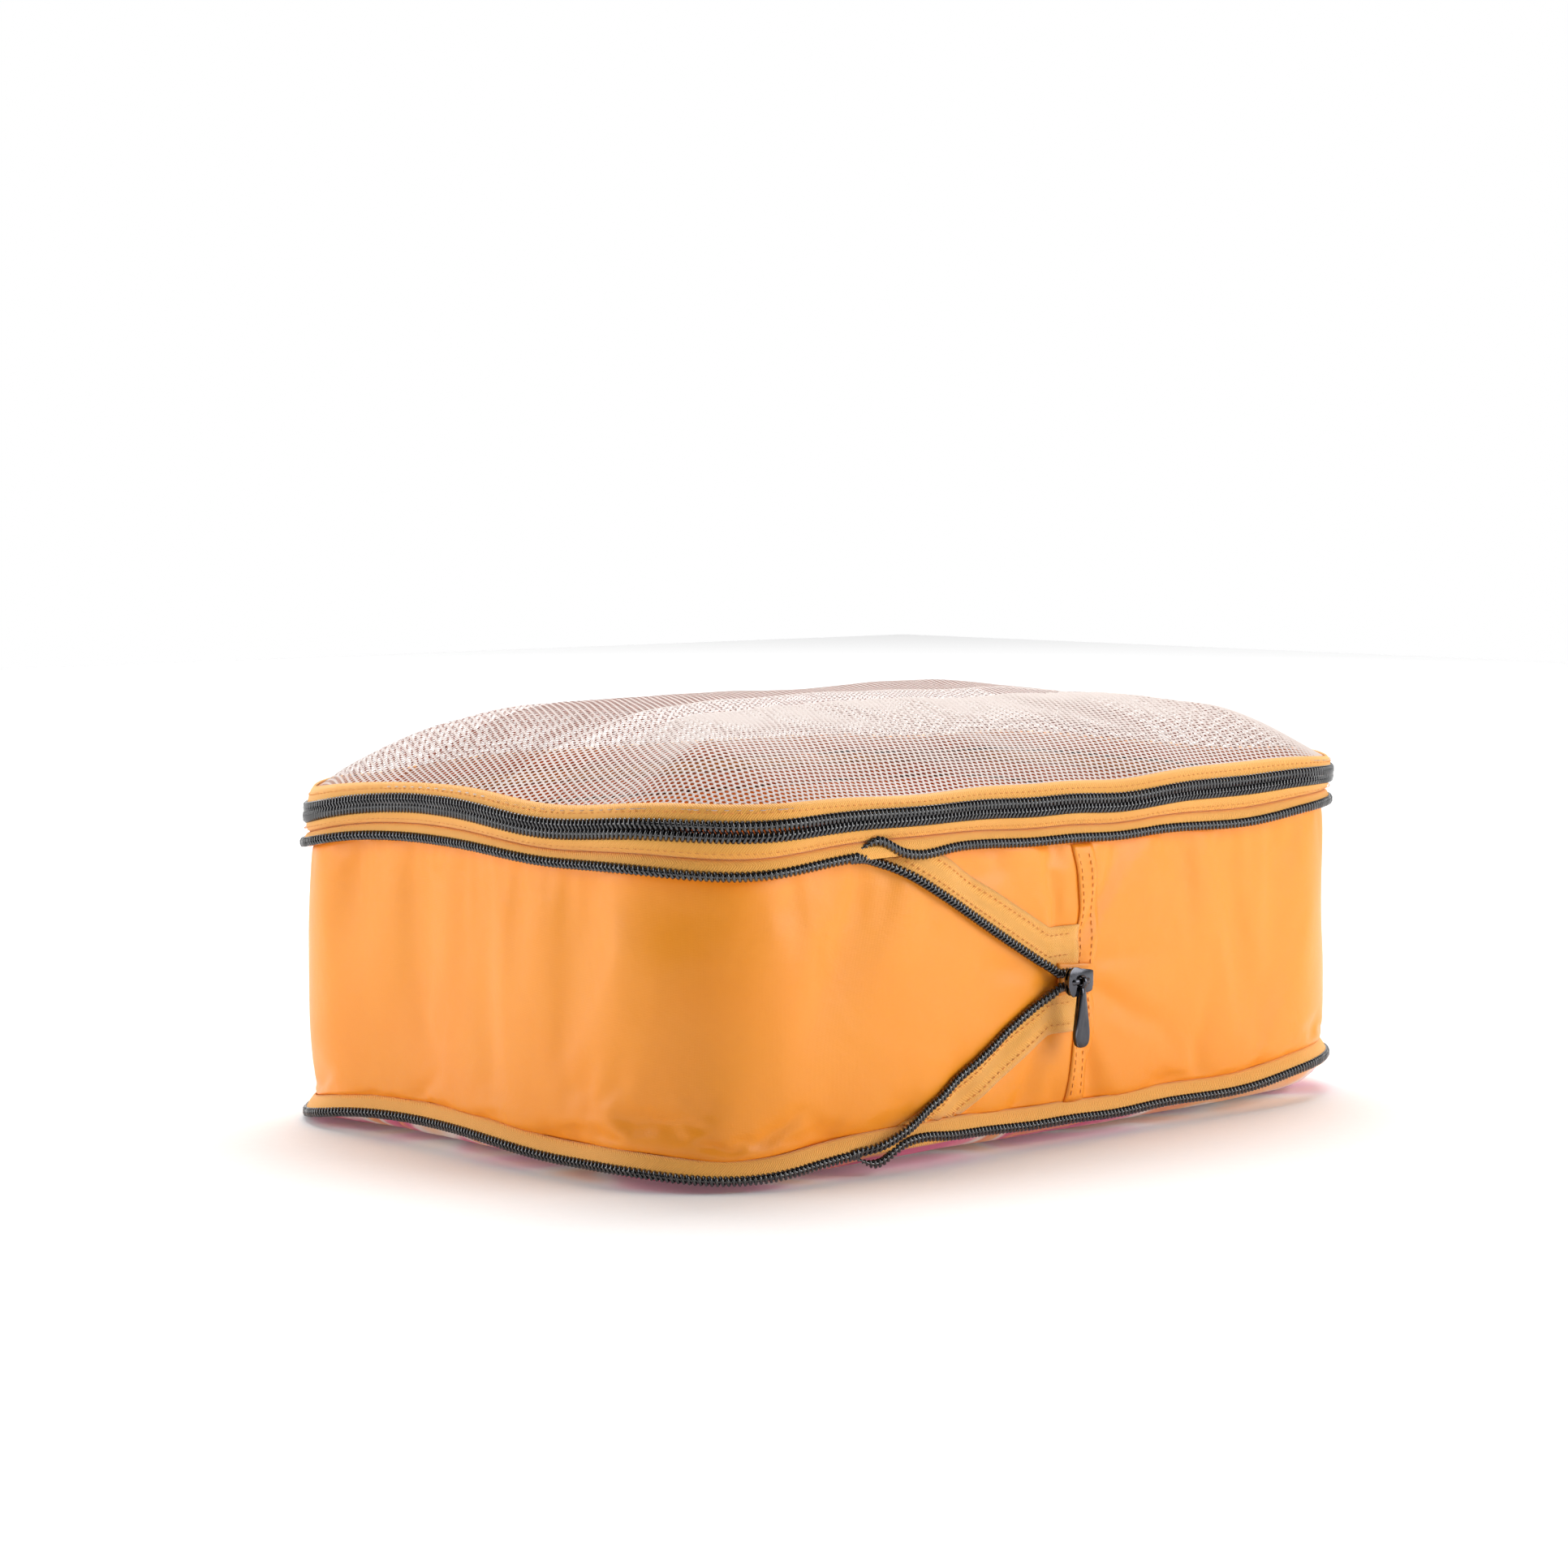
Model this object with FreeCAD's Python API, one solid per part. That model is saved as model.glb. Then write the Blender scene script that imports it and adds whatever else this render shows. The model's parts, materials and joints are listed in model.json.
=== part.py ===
import FreeCAD, Part
import math
import os

# Compression packing cube, fully expanded, resting on its base.
# Frame: origin in the middle of the flat base, +X along the long side, +Z up.
# The -Y face carries the open V of the compression zipper, the +Y face the lid's hinge.
# An "inset" is a distance inwards from the outline that the zipper coils follow. Millimetres.

# ---- overall sizes ----
LENGTH = 350.0            # outline of the coils, long way
WIDTH = 245.0             # outline of the coils, short way
CORNER = 50.0             # plan radius of the outline
CORNER_LIMIT = 0.8         # the most of the half width that a corner takes up
GUSSET = 98.0             # from the base coil's middle to the top coil's middle
BASE_RISE = 8.0           # the base coil's middle above the floor
CHAIN_RISE = 12.0         # the main chain's middle above the top coil's middle
LID_TAPE = 7.2            # width of the lid's tape above the main chain's middle
DOME = 28.0               # rise of the netting above the lid's tape

# ---- zipper and cloth sizes ----
COIL_WIDTH = 3.6          # one row of coil across its tape
COIL_DEPTH = 2.4          # the coil standing out of its tape
TAPE = 1.0                # thickness of every tape
CLOTH = 1.2               # thickness of every cloth skin
BINDING = 1.4             # thickness of the bound seams inside
CHAIN_GAP = 0.2           # between the two closed rows of the main chain
CLEARANCE = 0.3           # between neighbours that move apart
WALL_INSET = 4.0          # outer face of the gusset wall
FLAT_MARGIN = 30.0        # the base's flat area starts this far inside the outline
PANEL_SHAPE = ((0.53, 0.22), (0.2, 0.64))   # base bulge: share of margin, share of height
DOME_SHAPE = ((10.0, 0.36), (28.0, 0.68), (55.0, 0.88), (84.0, 1.0))   # inset, share of DOME
DOME_WALL = 1.2           # thickness of the netting's closed skin

# ---- the open V of the compression zipper, on the -Y face ----
V_START_X = -103.0        # where the two coils leave the rings
SLIDER_X = -3.0           # middle of the slider at the V's point
V_DEPTH = 0.6             # inset of the coil's outer face along the V
V_TAPE_WIDTH = 15.5       # the V's tapes, measured up the wall
V_TAPE_END = 0.7           # share of the tape's width left at its end
SEAM_X = 4.0             # left edge of the wall's overlapped seam
SEAM_WIDTH = 10.0
TAB_LENGTH = 20.0
TAB_HEIGHT = 16.0
STOP_LENGTH = 4.0
STOP_HEIGHT = 6.0
STOP_DEPTH = 2.0

# ---- hinge, sliders and pulls ----
HINGE_LENGTH = 200.0      # uncut cloth between lid and frame, in the middle of the +Y face
CHAIN_END = 6.0           # length of the tab over each end of the main chain
SLIDER_LENGTH = 12.0
SHOULDER = 10.4           # the slider's height where the coils enter
TAIL = 8.0                # and at its other end
PLATE = 2.4               # thickness of the slider's plate
LIP = 1.4                 # thickness of the main slider's lower lip
LIP_REACH = 2.2           # how far the lip reaches under the coil
BAIL_LENGTH = 10.0
BAIL_BAR = 1.6            # section of the bail's bar
EYE_HOLE = 1.3            # radius of the pull's eye
EYE_RIM = 1.2
EYE_THICKNESS = 2.4
PULL_LENGTH = 23.0        # from the eye's middle to the tip
PULL_NECK = 3.0
PULL_WIDTH = 6.6
PULL_THICKNESS = 2.6
SLIDER_GAP = 3.0          # between the two main sliders, met in the middle

# ---- levels worked out from those ----
HALF_COIL = COIL_WIDTH / 2
BASE_COIL_Z = BASE_RISE
TOP_COIL_Z = BASE_COIL_Z + GUSSET
CHAIN_Z = TOP_COIL_Z + CHAIN_RISE
NET_Z = CHAIN_Z + LID_TAPE
FLANGE_TOP = BASE_COIL_Z + TAPE / 4
FLANGE_BOTTOM = FLANGE_TOP - TAPE
WALL_TOP = TOP_COIL_Z - HALF_COIL - CLEARANCE
TOP_TAPE_END = CHAIN_Z - COIL_WIDTH - CHAIN_GAP / 2 - CHAIN_RISE / 4
TAPE_BACK = COIL_DEPTH + TAPE
MIDDLE_Z = (BASE_COIL_Z + TOP_COIL_Z) / 2
FRONT_Y = -WIDTH / 2
EYE_PLAY = 0.48            # between the eye and the plate
BAIL_RISE = EYE_HOLE + EYE_RIM + EYE_PLAY   # the bar's middle above the plate


def outline(inset, z):
    """The cube's plan, a rounded rectangle, moved inwards by inset and set at height z."""
    half_x = LENGTH / 2 - inset
    half_y = WIDTH / 2 - inset
    radius = min(CORNER, CORNER_LIMIT * half_y)
    if inset < WALL_INSET * 2:
        radius = CORNER - inset
    run_x = half_x - radius
    run_y = half_y - radius
    diagonal = radius * math.sqrt(0.5)
    edges = []
    for turn in range(4):
        along, across = (run_x, run_y) if turn % 2 == 0 else (run_y, run_x)
        start = FreeCAD.Vector(-along, -across - radius, 0)
        end = FreeCAD.Vector(along, -across - radius, 0)
        middle = FreeCAD.Vector(along + diagonal, -across - diagonal, 0)
        corner_end = FreeCAD.Vector(along + radius, -across, 0)
        side = [Part.makeLine(start, end), Part.Arc(end, middle, corner_end).toShape()]
        for edge in side:
            edge.rotate(FreeCAD.Vector(0, 0, 0), FreeCAD.Vector(0, 0, 1), 90 * turn)
            edge.translate(FreeCAD.Vector(0, 0, z))
            edges.append(edge)
    return Part.Wire(edges)


def slab(inset, low, high):
    """A solid plate of the plan's shape."""
    return Part.Face(outline(inset, low)).extrude(FreeCAD.Vector(0, 0, high - low))


def ring(outer, inner, low, high):
    """A band that follows the plan, from inset outer to inset inner."""
    return slab(outer, low, high).cut(slab(inner, low - 1, high + 1))


def skin(profile):
    """A solid through the plan at each (inset, height) of profile."""
    wires = [outline(inset, height) for inset, height in profile]
    return Part.makeLoft(wires, True, True)


def block(x_range, y_range, z_range):
    """A box between two corners."""
    size = [pair[1] - pair[0] for pair in (x_range, y_range, z_range)]
    corner = FreeCAD.Vector(x_range[0], y_range[0], z_range[0])
    return Part.makeBox(size[0], size[1], size[2], corner)


def plate(points, near, far):
    """A flat piece with its (x, z) outline on the -Y face, between insets near and far."""
    corners = [FreeCAD.Vector(x, FRONT_Y + near, z) for x, z in points]
    face = Part.Face(Part.makePolygon(corners + corners[:1]))
    return face.extrude(FreeCAD.Vector(0, far - near, 0))


def base_parts():
    """The printed base, its zipper half and the bound seam above it."""
    outer = [(FLAT_MARGIN, 0.0)]
    inner = [(FLAT_MARGIN + CLOTH, CLOTH)]
    for margin_share, height_share in PANEL_SHAPE:
        outer.append((FLAT_MARGIN * margin_share, FLANGE_BOTTOM * height_share))
        inner.append((FLAT_MARGIN * margin_share + CLOTH, FLANGE_BOTTOM * height_share + CLOTH))
    outer.append((COIL_DEPTH, FLANGE_BOTTOM))
    inner.append((WALL_INSET + CLOTH, FLANGE_BOTTOM))
    pan = skin(outer).cut(skin(inner))
    return {
        "base_panel": pan,
        "base_tape": ring(COIL_DEPTH, WALL_INSET + CLOTH, FLANGE_BOTTOM, FLANGE_TOP),
        "base_coil": ring(0, COIL_DEPTH, BASE_COIL_Z - HALF_COIL, BASE_COIL_Z + HALF_COIL),
        "base_binding": ring(WALL_INSET + CLOTH, WALL_INSET + CLOTH + BINDING,
                             FLANGE_BOTTOM, FLANGE_TOP + 2 * BINDING),
    }


def v_line(side):
    """The middle of one row of coil along the V, from its ring to the slider."""
    slope = (GUSSET / 2 - HALF_COIL) / (SLIDER_X - SLIDER_LENGTH / 2 - V_START_X)
    end_x = SLIDER_X - SLIDER_LENGTH / 2 - CLEARANCE
    clear_of_ring = COIL_WIDTH + 2 * CLEARANCE
    start_x = V_START_X + clear_of_ring / slope
    start_z = MIDDLE_Z + side * (GUSSET / 2 - clear_of_ring)
    end_z = MIDDLE_Z + side * (GUSSET / 2 - slope * (end_x - V_START_X))
    return (start_x, start_z), (end_x, end_z)


def v_parts(side, name):
    """The diagonal coil on one side of the V, and the tape that runs beyond it."""
    start, end = v_line(side)
    length = math.hypot(end[0] - start[0], end[1] - start[1])
    up = (HALF_COIL * abs(end[1] - start[1]) / length, side * HALF_COIL * (end[0] - start[0]) / length)
    coil = [(start[0] + up[0], start[1] + up[1]), (start[0] - up[0], start[1] - up[1]),
            (end[0] - up[0], end[1] - up[1]), (end[0] + up[0], end[1] + up[1])]
    limit = MIDDLE_Z + side * (WALL_TOP - CLEARANCE - MIDDLE_Z)
    slope = (end[1] - start[1]) / (end[0] - start[0])
    clip_x = start[0] + (limit - side * V_TAPE_WIDTH - start[1]) / slope
    seam_edge = SEAM_X - CLEARANCE
    tape = [start, end, (end[0], MIDDLE_Z + side * (TAB_HEIGHT / 2 + CLEARANCE)),
            (seam_edge, MIDDLE_Z + side * (TAB_HEIGHT / 2 + CLEARANCE)),
            (seam_edge, end[1] + side * V_TAPE_WIDTH * V_TAPE_END), (clip_x, limit), (start[0], limit)]
    return {
        "v_" + name + "_coil": plate(coil, V_DEPTH, V_DEPTH + COIL_DEPTH),
        "v_" + name + "_tape": plate(tape, V_DEPTH + COIL_DEPTH, WALL_INSET),
    }


def wall_parts():
    """The gusset wall, its overlapped seam and the tab and stop at the point of the V."""
    seam = block((SEAM_X, SEAM_X + SEAM_WIDTH),
                 (FRONT_Y + V_DEPTH + COIL_DEPTH, FRONT_Y + WALL_INSET),
                 (FLANGE_TOP + CLEARANCE, WALL_TOP - CLEARANCE))
    tab_x = SLIDER_X - SLIDER_LENGTH / 2 + HALF_COIL
    tab = block((tab_x, tab_x + TAB_LENGTH),
                (FRONT_Y - CLEARANCE, FRONT_Y + V_DEPTH + COIL_DEPTH - CLEARANCE),
                (MIDDLE_Z - TAB_HEIGHT / 2, MIDDLE_Z + TAB_HEIGHT / 2))
    stop_x = SLIDER_X + SLIDER_LENGTH / 2 + CLEARANCE
    stop = block((stop_x, stop_x + STOP_LENGTH),
                 (FRONT_Y - CLEARANCE - STOP_DEPTH, FRONT_Y - CLEARANCE),
                 (MIDDLE_Z - STOP_HEIGHT / 2, MIDDLE_Z + STOP_HEIGHT / 2))
    return {
        "gusset_wall": ring(WALL_INSET, WALL_INSET + CLOTH, FLANGE_TOP, WALL_TOP),
        "gusset_seam": seam,
        "garage_tab": tab,
        "comp_stop": stop,
    }


def open_at_hinge(band, length):
    """A band with the stretch of the given length cut out of its +Y side."""
    reach = WALL_INSET * 2
    gap = block((-length / 2, length / 2), (WIDTH / 2 - reach, WIDTH / 2 + reach), (0, NET_Z + DOME))
    return band.cut(gap)


def frame_parts():
    """The upper zipper frame: compression tape and coil, main tape and coil, hinge cloth."""
    coil_top = CHAIN_Z - CHAIN_GAP / 2
    coil_low = coil_top - COIL_WIDTH
    chain_cut = HINGE_LENGTH + 2 * CHAIN_END
    parts = {
        "top_tape": ring(COIL_DEPTH, TAPE_BACK, TOP_COIL_Z - HALF_COIL, TOP_TAPE_END),
        "top_coil": ring(0, COIL_DEPTH, TOP_COIL_Z - HALF_COIL, TOP_COIL_Z + HALF_COIL),
        "top_binding": ring(TAPE_BACK, TAPE_BACK + BINDING, TOP_COIL_Z - HALF_COIL, TOP_TAPE_END),
        "main_lower_tape": ring(COIL_DEPTH, TAPE_BACK, TOP_TAPE_END, coil_top),
        "main_lower_coil": open_at_hinge(ring(0, COIL_DEPTH, coil_low, coil_top), chain_cut),
        "hinge_strip": block((-HINGE_LENGTH / 2, HINGE_LENGTH / 2),
                             (WIDTH / 2 - COIL_DEPTH, WIDTH / 2 - COIL_DEPTH + CLOTH),
                             (TOP_TAPE_END, coil_top)),
    }
    for name, side in (("chain_end_left", -1), ("chain_end_right", 1)):
        near = side * HINGE_LENGTH / 2
        far = side * (HINGE_LENGTH / 2 + CHAIN_END)
        parts[name] = block((min(near, far), max(near, far)),
                            (WIDTH / 2 - COIL_DEPTH, WIDTH / 2), (TOP_TAPE_END, coil_top))
    return parts


def lid_parts():
    """The domed net lid with its tape, bound seam and half of the main chain."""
    low = CHAIN_Z + CHAIN_GAP / 2
    outer = [(COIL_DEPTH, NET_Z)]
    inner = [(COIL_DEPTH + DOME_WALL, NET_Z)]
    for inset, share in DOME_SHAPE:
        outer.append((inset, NET_Z + DOME * share))
        inner.append((inset + DOME_WALL, NET_Z + DOME * share - DOME_WALL))
    coil = ring(0, COIL_DEPTH, low, low + COIL_WIDTH)
    return {
        "lid_net": skin(outer).cut(skin(inner)),
        "lid_tape": ring(COIL_DEPTH, TAPE_BACK, low, NET_Z),
        "lid_coil": open_at_hinge(coil, HINGE_LENGTH + 2 * CHAIN_END),
        "lid_binding": ring(TAPE_BACK, TAPE_BACK + BINDING, NET_Z - 2 * BINDING, NET_Z),
    }


def slider_plate(back):
    """A slider's plate in the V's place: shoulders towards -X, its back at inset back."""
    left = SLIDER_X - SLIDER_LENGTH / 2
    right = SLIDER_X + SLIDER_LENGTH / 2
    shoulder_end = SLIDER_X - SLIDER_LENGTH / 6
    points = [(left, MIDDLE_Z - SHOULDER / 3), (left + SHOULDER / 6, MIDDLE_Z - SHOULDER / 2),
              (shoulder_end, MIDDLE_Z - SHOULDER / 2), (right, MIDDLE_Z - TAIL / 2),
              (right, MIDDLE_Z + TAIL / 2), (shoulder_end, MIDDLE_Z + SHOULDER / 2),
              (left + SHOULDER / 6, MIDDLE_Z + SHOULDER / 2), (left, MIDDLE_Z + SHOULDER / 3)]
    return plate(points, back - PLATE, back)


def bail_and_pull(face):
    """The arch on a slider whose plate ends at inset face, and the pull that hangs from it."""
    half_bail = BAIL_LENGTH / 2
    bar_inset = face - BAIL_RISE
    half_bar = BAIL_BAR / 2
    y_out = FRONT_Y + bar_inset - half_bar
    arch = block((SLIDER_X - half_bail, SLIDER_X + half_bail), (y_out, FRONT_Y + face),
                 (MIDDLE_Z - half_bar, MIDDLE_Z + half_bar))
    window = block((SLIDER_X - half_bail + BAIL_BAR, SLIDER_X + half_bail - BAIL_BAR),
                   (y_out + BAIL_BAR, FRONT_Y + face), (MIDDLE_Z - BAIL_BAR, MIDDLE_Z + BAIL_BAR))
    bail = arch.cut(window)
    eye_start = FreeCAD.Vector(SLIDER_X - EYE_THICKNESS / 2, FRONT_Y + bar_inset, MIDDLE_Z)
    along = FreeCAD.Vector(1, 0, 0)
    eye = Part.makeCylinder(EYE_HOLE + EYE_RIM, EYE_THICKNESS, eye_start, along)
    hole = Part.makeCylinder(EYE_HOLE, EYE_THICKNESS + 2, eye_start - along, along)
    tip = MIDDLE_Z - PULL_LENGTH
    neck = MIDDLE_Z - EYE_HOLE - EYE_RIM / 2
    chamfer = PULL_WIDTH / 4
    points = [(SLIDER_X - PULL_NECK / 2, neck), (SLIDER_X + PULL_NECK / 2, neck),
              (SLIDER_X + PULL_WIDTH / 2, tip + PULL_WIDTH), (SLIDER_X + PULL_WIDTH / 2, tip + chamfer),
              (SLIDER_X + chamfer, tip), (SLIDER_X - chamfer, tip),
              (SLIDER_X - PULL_WIDTH / 2, tip + chamfer), (SLIDER_X - PULL_WIDTH / 2, tip + PULL_WIDTH)]
    blade = plate(points, bar_inset - PULL_THICKNESS / 2, bar_inset + PULL_THICKNESS / 2)
    return bail, eye.fuse(blade).cut(hole).removeSplitter()


def compression_slider():
    """The slider at the point of the V, proud of the rings so that they pass behind it."""
    back = -2 * CLEARANCE
    body = slider_plate(back)
    bail, pull = bail_and_pull(back - PLATE)
    return {"comp_slider_body": body, "comp_bail": bail, "comp_pull": pull}


def main_sliders():
    """The lid's two sliders, met in the middle of the +X face with their shoulders together."""
    back = -CLEARANCE - CHAIN_GAP / 2
    body = slider_plate(back)
    lip_top = MIDDLE_Z - CHAIN_GAP / 2 - COIL_WIDTH - CLEARANCE
    lip = block((SLIDER_X - SLIDER_LENGTH / 3, SLIDER_X + SLIDER_LENGTH / 3),
                (FRONT_Y + back - PLATE / 2, FRONT_Y - CLEARANCE + LIP_REACH),
                (lip_top - LIP, lip_top))
    body = body.fuse(lip).removeSplitter()
    bail, pull = bail_and_pull(back - PLATE)
    middle = FreeCAD.Vector(SLIDER_X, FRONT_Y, MIDDLE_Z)
    parts = {}
    for letter, side in (("a", 1), ("b", -1)):
        place = FreeCAD.Placement()
        place.Rotation = FreeCAD.Rotation(FreeCAD.Vector(0, 0, 1), 90)
        offset = side * (SLIDER_LENGTH + SLIDER_GAP) / 2
        place.Base = FreeCAD.Vector(LENGTH / 2, offset, CHAIN_Z) - place.Rotation.multVec(middle)
        for name, shape in (("main_slider_", body), ("main_bail_", bail), ("main_pull_", pull)):
            copy = shape.copy()
            if side < 0:
                copy = copy.mirror(middle, FreeCAD.Vector(1, 0, 0))
            copy.Placement = place.multiply(copy.Placement)
            parts[name + letter] = copy
    return parts


def build():
    """Every piece of the cube, by name."""
    parts = {}
    parts.update(base_parts())
    parts.update(wall_parts())
    parts.update(v_parts(1, "upper"))
    parts.update(v_parts(-1, "lower"))
    parts.update(frame_parts())
    parts.update(lid_parts())
    parts.update(compression_slider())
    parts.update(main_sliders())
    return parts


os.makedirs("parts", exist_ok=True)
for node, shape in build().items():
    if not shape.isValid() or shape.Volume <= 0:
        raise ValueError(node + " is not a sound solid")
    shape.exportStep("parts/" + node + ".step")
    print(node, len(shape.Solids), round(shape.Volume, 1))
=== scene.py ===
import json
import logging
import math
from dataclasses import dataclass, field
from enum import Enum
from typing import Optional, Union

import bmesh
import bpy
import numpy as np
from mathutils import Matrix, Vector, noise
from mathutils.bvhtree import BVHTree


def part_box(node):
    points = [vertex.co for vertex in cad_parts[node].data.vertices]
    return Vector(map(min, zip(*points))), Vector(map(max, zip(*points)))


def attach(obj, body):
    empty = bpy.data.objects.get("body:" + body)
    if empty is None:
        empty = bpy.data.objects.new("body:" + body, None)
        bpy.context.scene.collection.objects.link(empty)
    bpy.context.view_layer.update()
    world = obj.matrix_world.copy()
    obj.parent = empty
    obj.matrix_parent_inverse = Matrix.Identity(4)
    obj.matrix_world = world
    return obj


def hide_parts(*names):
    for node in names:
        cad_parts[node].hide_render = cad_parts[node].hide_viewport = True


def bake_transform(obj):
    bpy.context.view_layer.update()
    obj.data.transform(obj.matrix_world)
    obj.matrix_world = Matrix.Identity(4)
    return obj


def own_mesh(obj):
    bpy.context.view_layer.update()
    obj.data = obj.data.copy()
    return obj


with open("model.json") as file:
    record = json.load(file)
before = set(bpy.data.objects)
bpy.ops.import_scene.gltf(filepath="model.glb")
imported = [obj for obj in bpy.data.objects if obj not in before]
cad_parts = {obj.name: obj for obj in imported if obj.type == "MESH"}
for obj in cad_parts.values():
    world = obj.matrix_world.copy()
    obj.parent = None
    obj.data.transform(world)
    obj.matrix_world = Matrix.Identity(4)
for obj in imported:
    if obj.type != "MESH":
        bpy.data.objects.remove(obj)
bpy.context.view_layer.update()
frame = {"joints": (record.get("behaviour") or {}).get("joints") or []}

LOG = logging.getLogger("packing_cube")
MM = 0.001
UV = "cloth"
CORNERS = ((-1, 1), (-1, -1), (1, -1), (1, 1))
V_START = -0.103
SLIDER_X = -0.003
HINGE_MARGIN = 0.106
FRONT_Y = -0.1
RAY_START_Y = -0.3
NodeValue = Union[bpy.types.Node, bpy.types.NodeSocket, float, tuple, str]


class Slot(Enum):
    """The record's material slots."""

    PRINT = "printed_nylon"
    NYLON = "orange_nylon"
    TAPE = "zip_tape"
    BINDING = "binding"
    NET = "net"
    COIL = "zip_coil"
    METAL = "black_nickel"


# ---------------------------------------------------------------- the plan and the soft shape


def smooth(value: np.ndarray) -> np.ndarray:
    """A smooth step of value from 0 to 1."""
    t = np.clip(value, 0.0, 1.0)
    return t * t * (3 - 2 * t)


@dataclass(frozen=True)
class Plan:
    """The rounded rectangle that the zipper coils follow, walked from the rear's middle by the left side."""

    half_x: float
    half_y: float
    corner: float

    @property
    def run_x(self) -> float:
        """Half of a long side's straight stretch."""
        return self.half_x - self.corner

    @property
    def run_y(self) -> float:
        """Half of a short side's straight stretch."""
        return self.half_y - self.corner

    @property
    def arc(self) -> float:
        """Length of one corner."""
        return self.corner * math.pi / 2

    @property
    def length(self) -> float:
        """Length once round."""
        return 4 * (self.run_x + self.run_y + self.arc)

    @property
    def sides(self) -> tuple[float, ...]:
        """The straight stretches in the order of the walk, which starts and ends half-way along the rear."""
        return self.run_x, 2 * self.run_y, 2 * self.run_x, 2 * self.run_y, self.run_x

    def front(self, x: float) -> float:
        """The distance at which the walk passes x on the front."""
        return self.run_x + 2 * self.arc + 2 * self.run_y + self.run_x + x

    def at(self, distance: float) -> tuple[Vector, Vector]:
        """Where the outline is.

        Args:
            distance: metres walked from the rear's middle.

        Returns:
            The place on the outline and the direction outwards, both with z 0.
        """
        left = distance % self.length
        place = Vector((0.0, self.half_y, 0.0))
        heading = Vector((-1.0, 0.0, 0.0))
        for turn, side in enumerate(self.sides):
            out = Vector((heading.y, -heading.x, 0.0))
            if left <= side:
                return place + heading * left, out
            left -= side
            place = place + heading * side
            side_x, side_y = CORNERS[turn % 4]
            centre = Vector((side_x * self.run_x, side_y * self.run_y, 0.0))
            if left <= self.arc:
                spoke = Matrix.Rotation(left / self.corner, 3, "Z") @ out
                return centre + spoke * self.corner, spoke
            left -= self.arc
            place = centre + (Matrix.Rotation(math.pi / 2, 3, "Z") @ out) * self.corner
            heading = Matrix.Rotation(math.pi / 2, 3, "Z") @ heading
        return place, out

    def measure(self, points: np.ndarray) -> tuple[np.ndarray, np.ndarray]:
        """Distance walked and inset of many points.

        Args:
            points: rows of x, y and z.

        Returns:
            The distance along the outline and the inset from it, for each point.
        """
        x, y = points[:, 0], points[:, 1]
        over_x, over_y = np.abs(x) - self.run_x, np.abs(y) - self.run_y
        corner = (over_x > 0) & (over_y > 0)
        on_side = ~corner & (self.half_x - np.abs(x) < self.half_y - np.abs(y))
        reach = np.hypot(np.maximum(over_x, 0), np.maximum(over_y, 0))
        inset = np.where(corner, self.corner - reach,
                         np.where(on_side, self.half_x - np.abs(x), self.half_y - np.abs(y)))
        first = self.run_x
        second = first + self.arc + 2 * self.run_y
        third = second + self.arc + 2 * self.run_x
        fourth = third + self.arc + 2 * self.run_y
        lean = np.arctan2(np.maximum(over_x, 1e-9), np.maximum(over_y, 1e-9)) * self.corner
        rest = self.arc - lean
        left, rear = x < 0, y > 0
        at_corner = np.where(left & rear, first + lean,
                             np.where(left & ~rear, second + rest,
                                      np.where(~left & ~rear, third + lean, fourth + rest)))
        at_side = np.where(left, first + self.arc + self.run_y - y, third + self.arc + self.run_y + y)
        at_end = np.where(rear, np.where(left, -x, self.length - x), second + self.arc + self.run_x + x)
        return np.where(corner, at_corner, np.where(on_side, at_side, at_end)), inset


@dataclass(frozen=True)
class Levels:
    """Heights of the cube's lines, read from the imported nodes."""

    base_coil: float
    top_coil: float
    chain: float
    net: float
    dome: float

    @staticmethod
    def read() -> "Levels":
        """Levels from the nodes' boxes."""
        base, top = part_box("base_coil"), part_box("top_coil")
        lid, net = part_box("lid_coil"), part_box("lid_net")
        return Levels((base[0].z + base[1].z) / 2, (top[0].z + top[1].z) / 2,
                      lid[0].z - 0.1 * MM, net[0].z, net[1].z)


@dataclass(frozen=True)
class Corner:
    """How far one corner of the soft cube hangs from its true height at three levels."""

    side_x: int
    side_y: int
    base: float
    top: float
    lid: float


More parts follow.
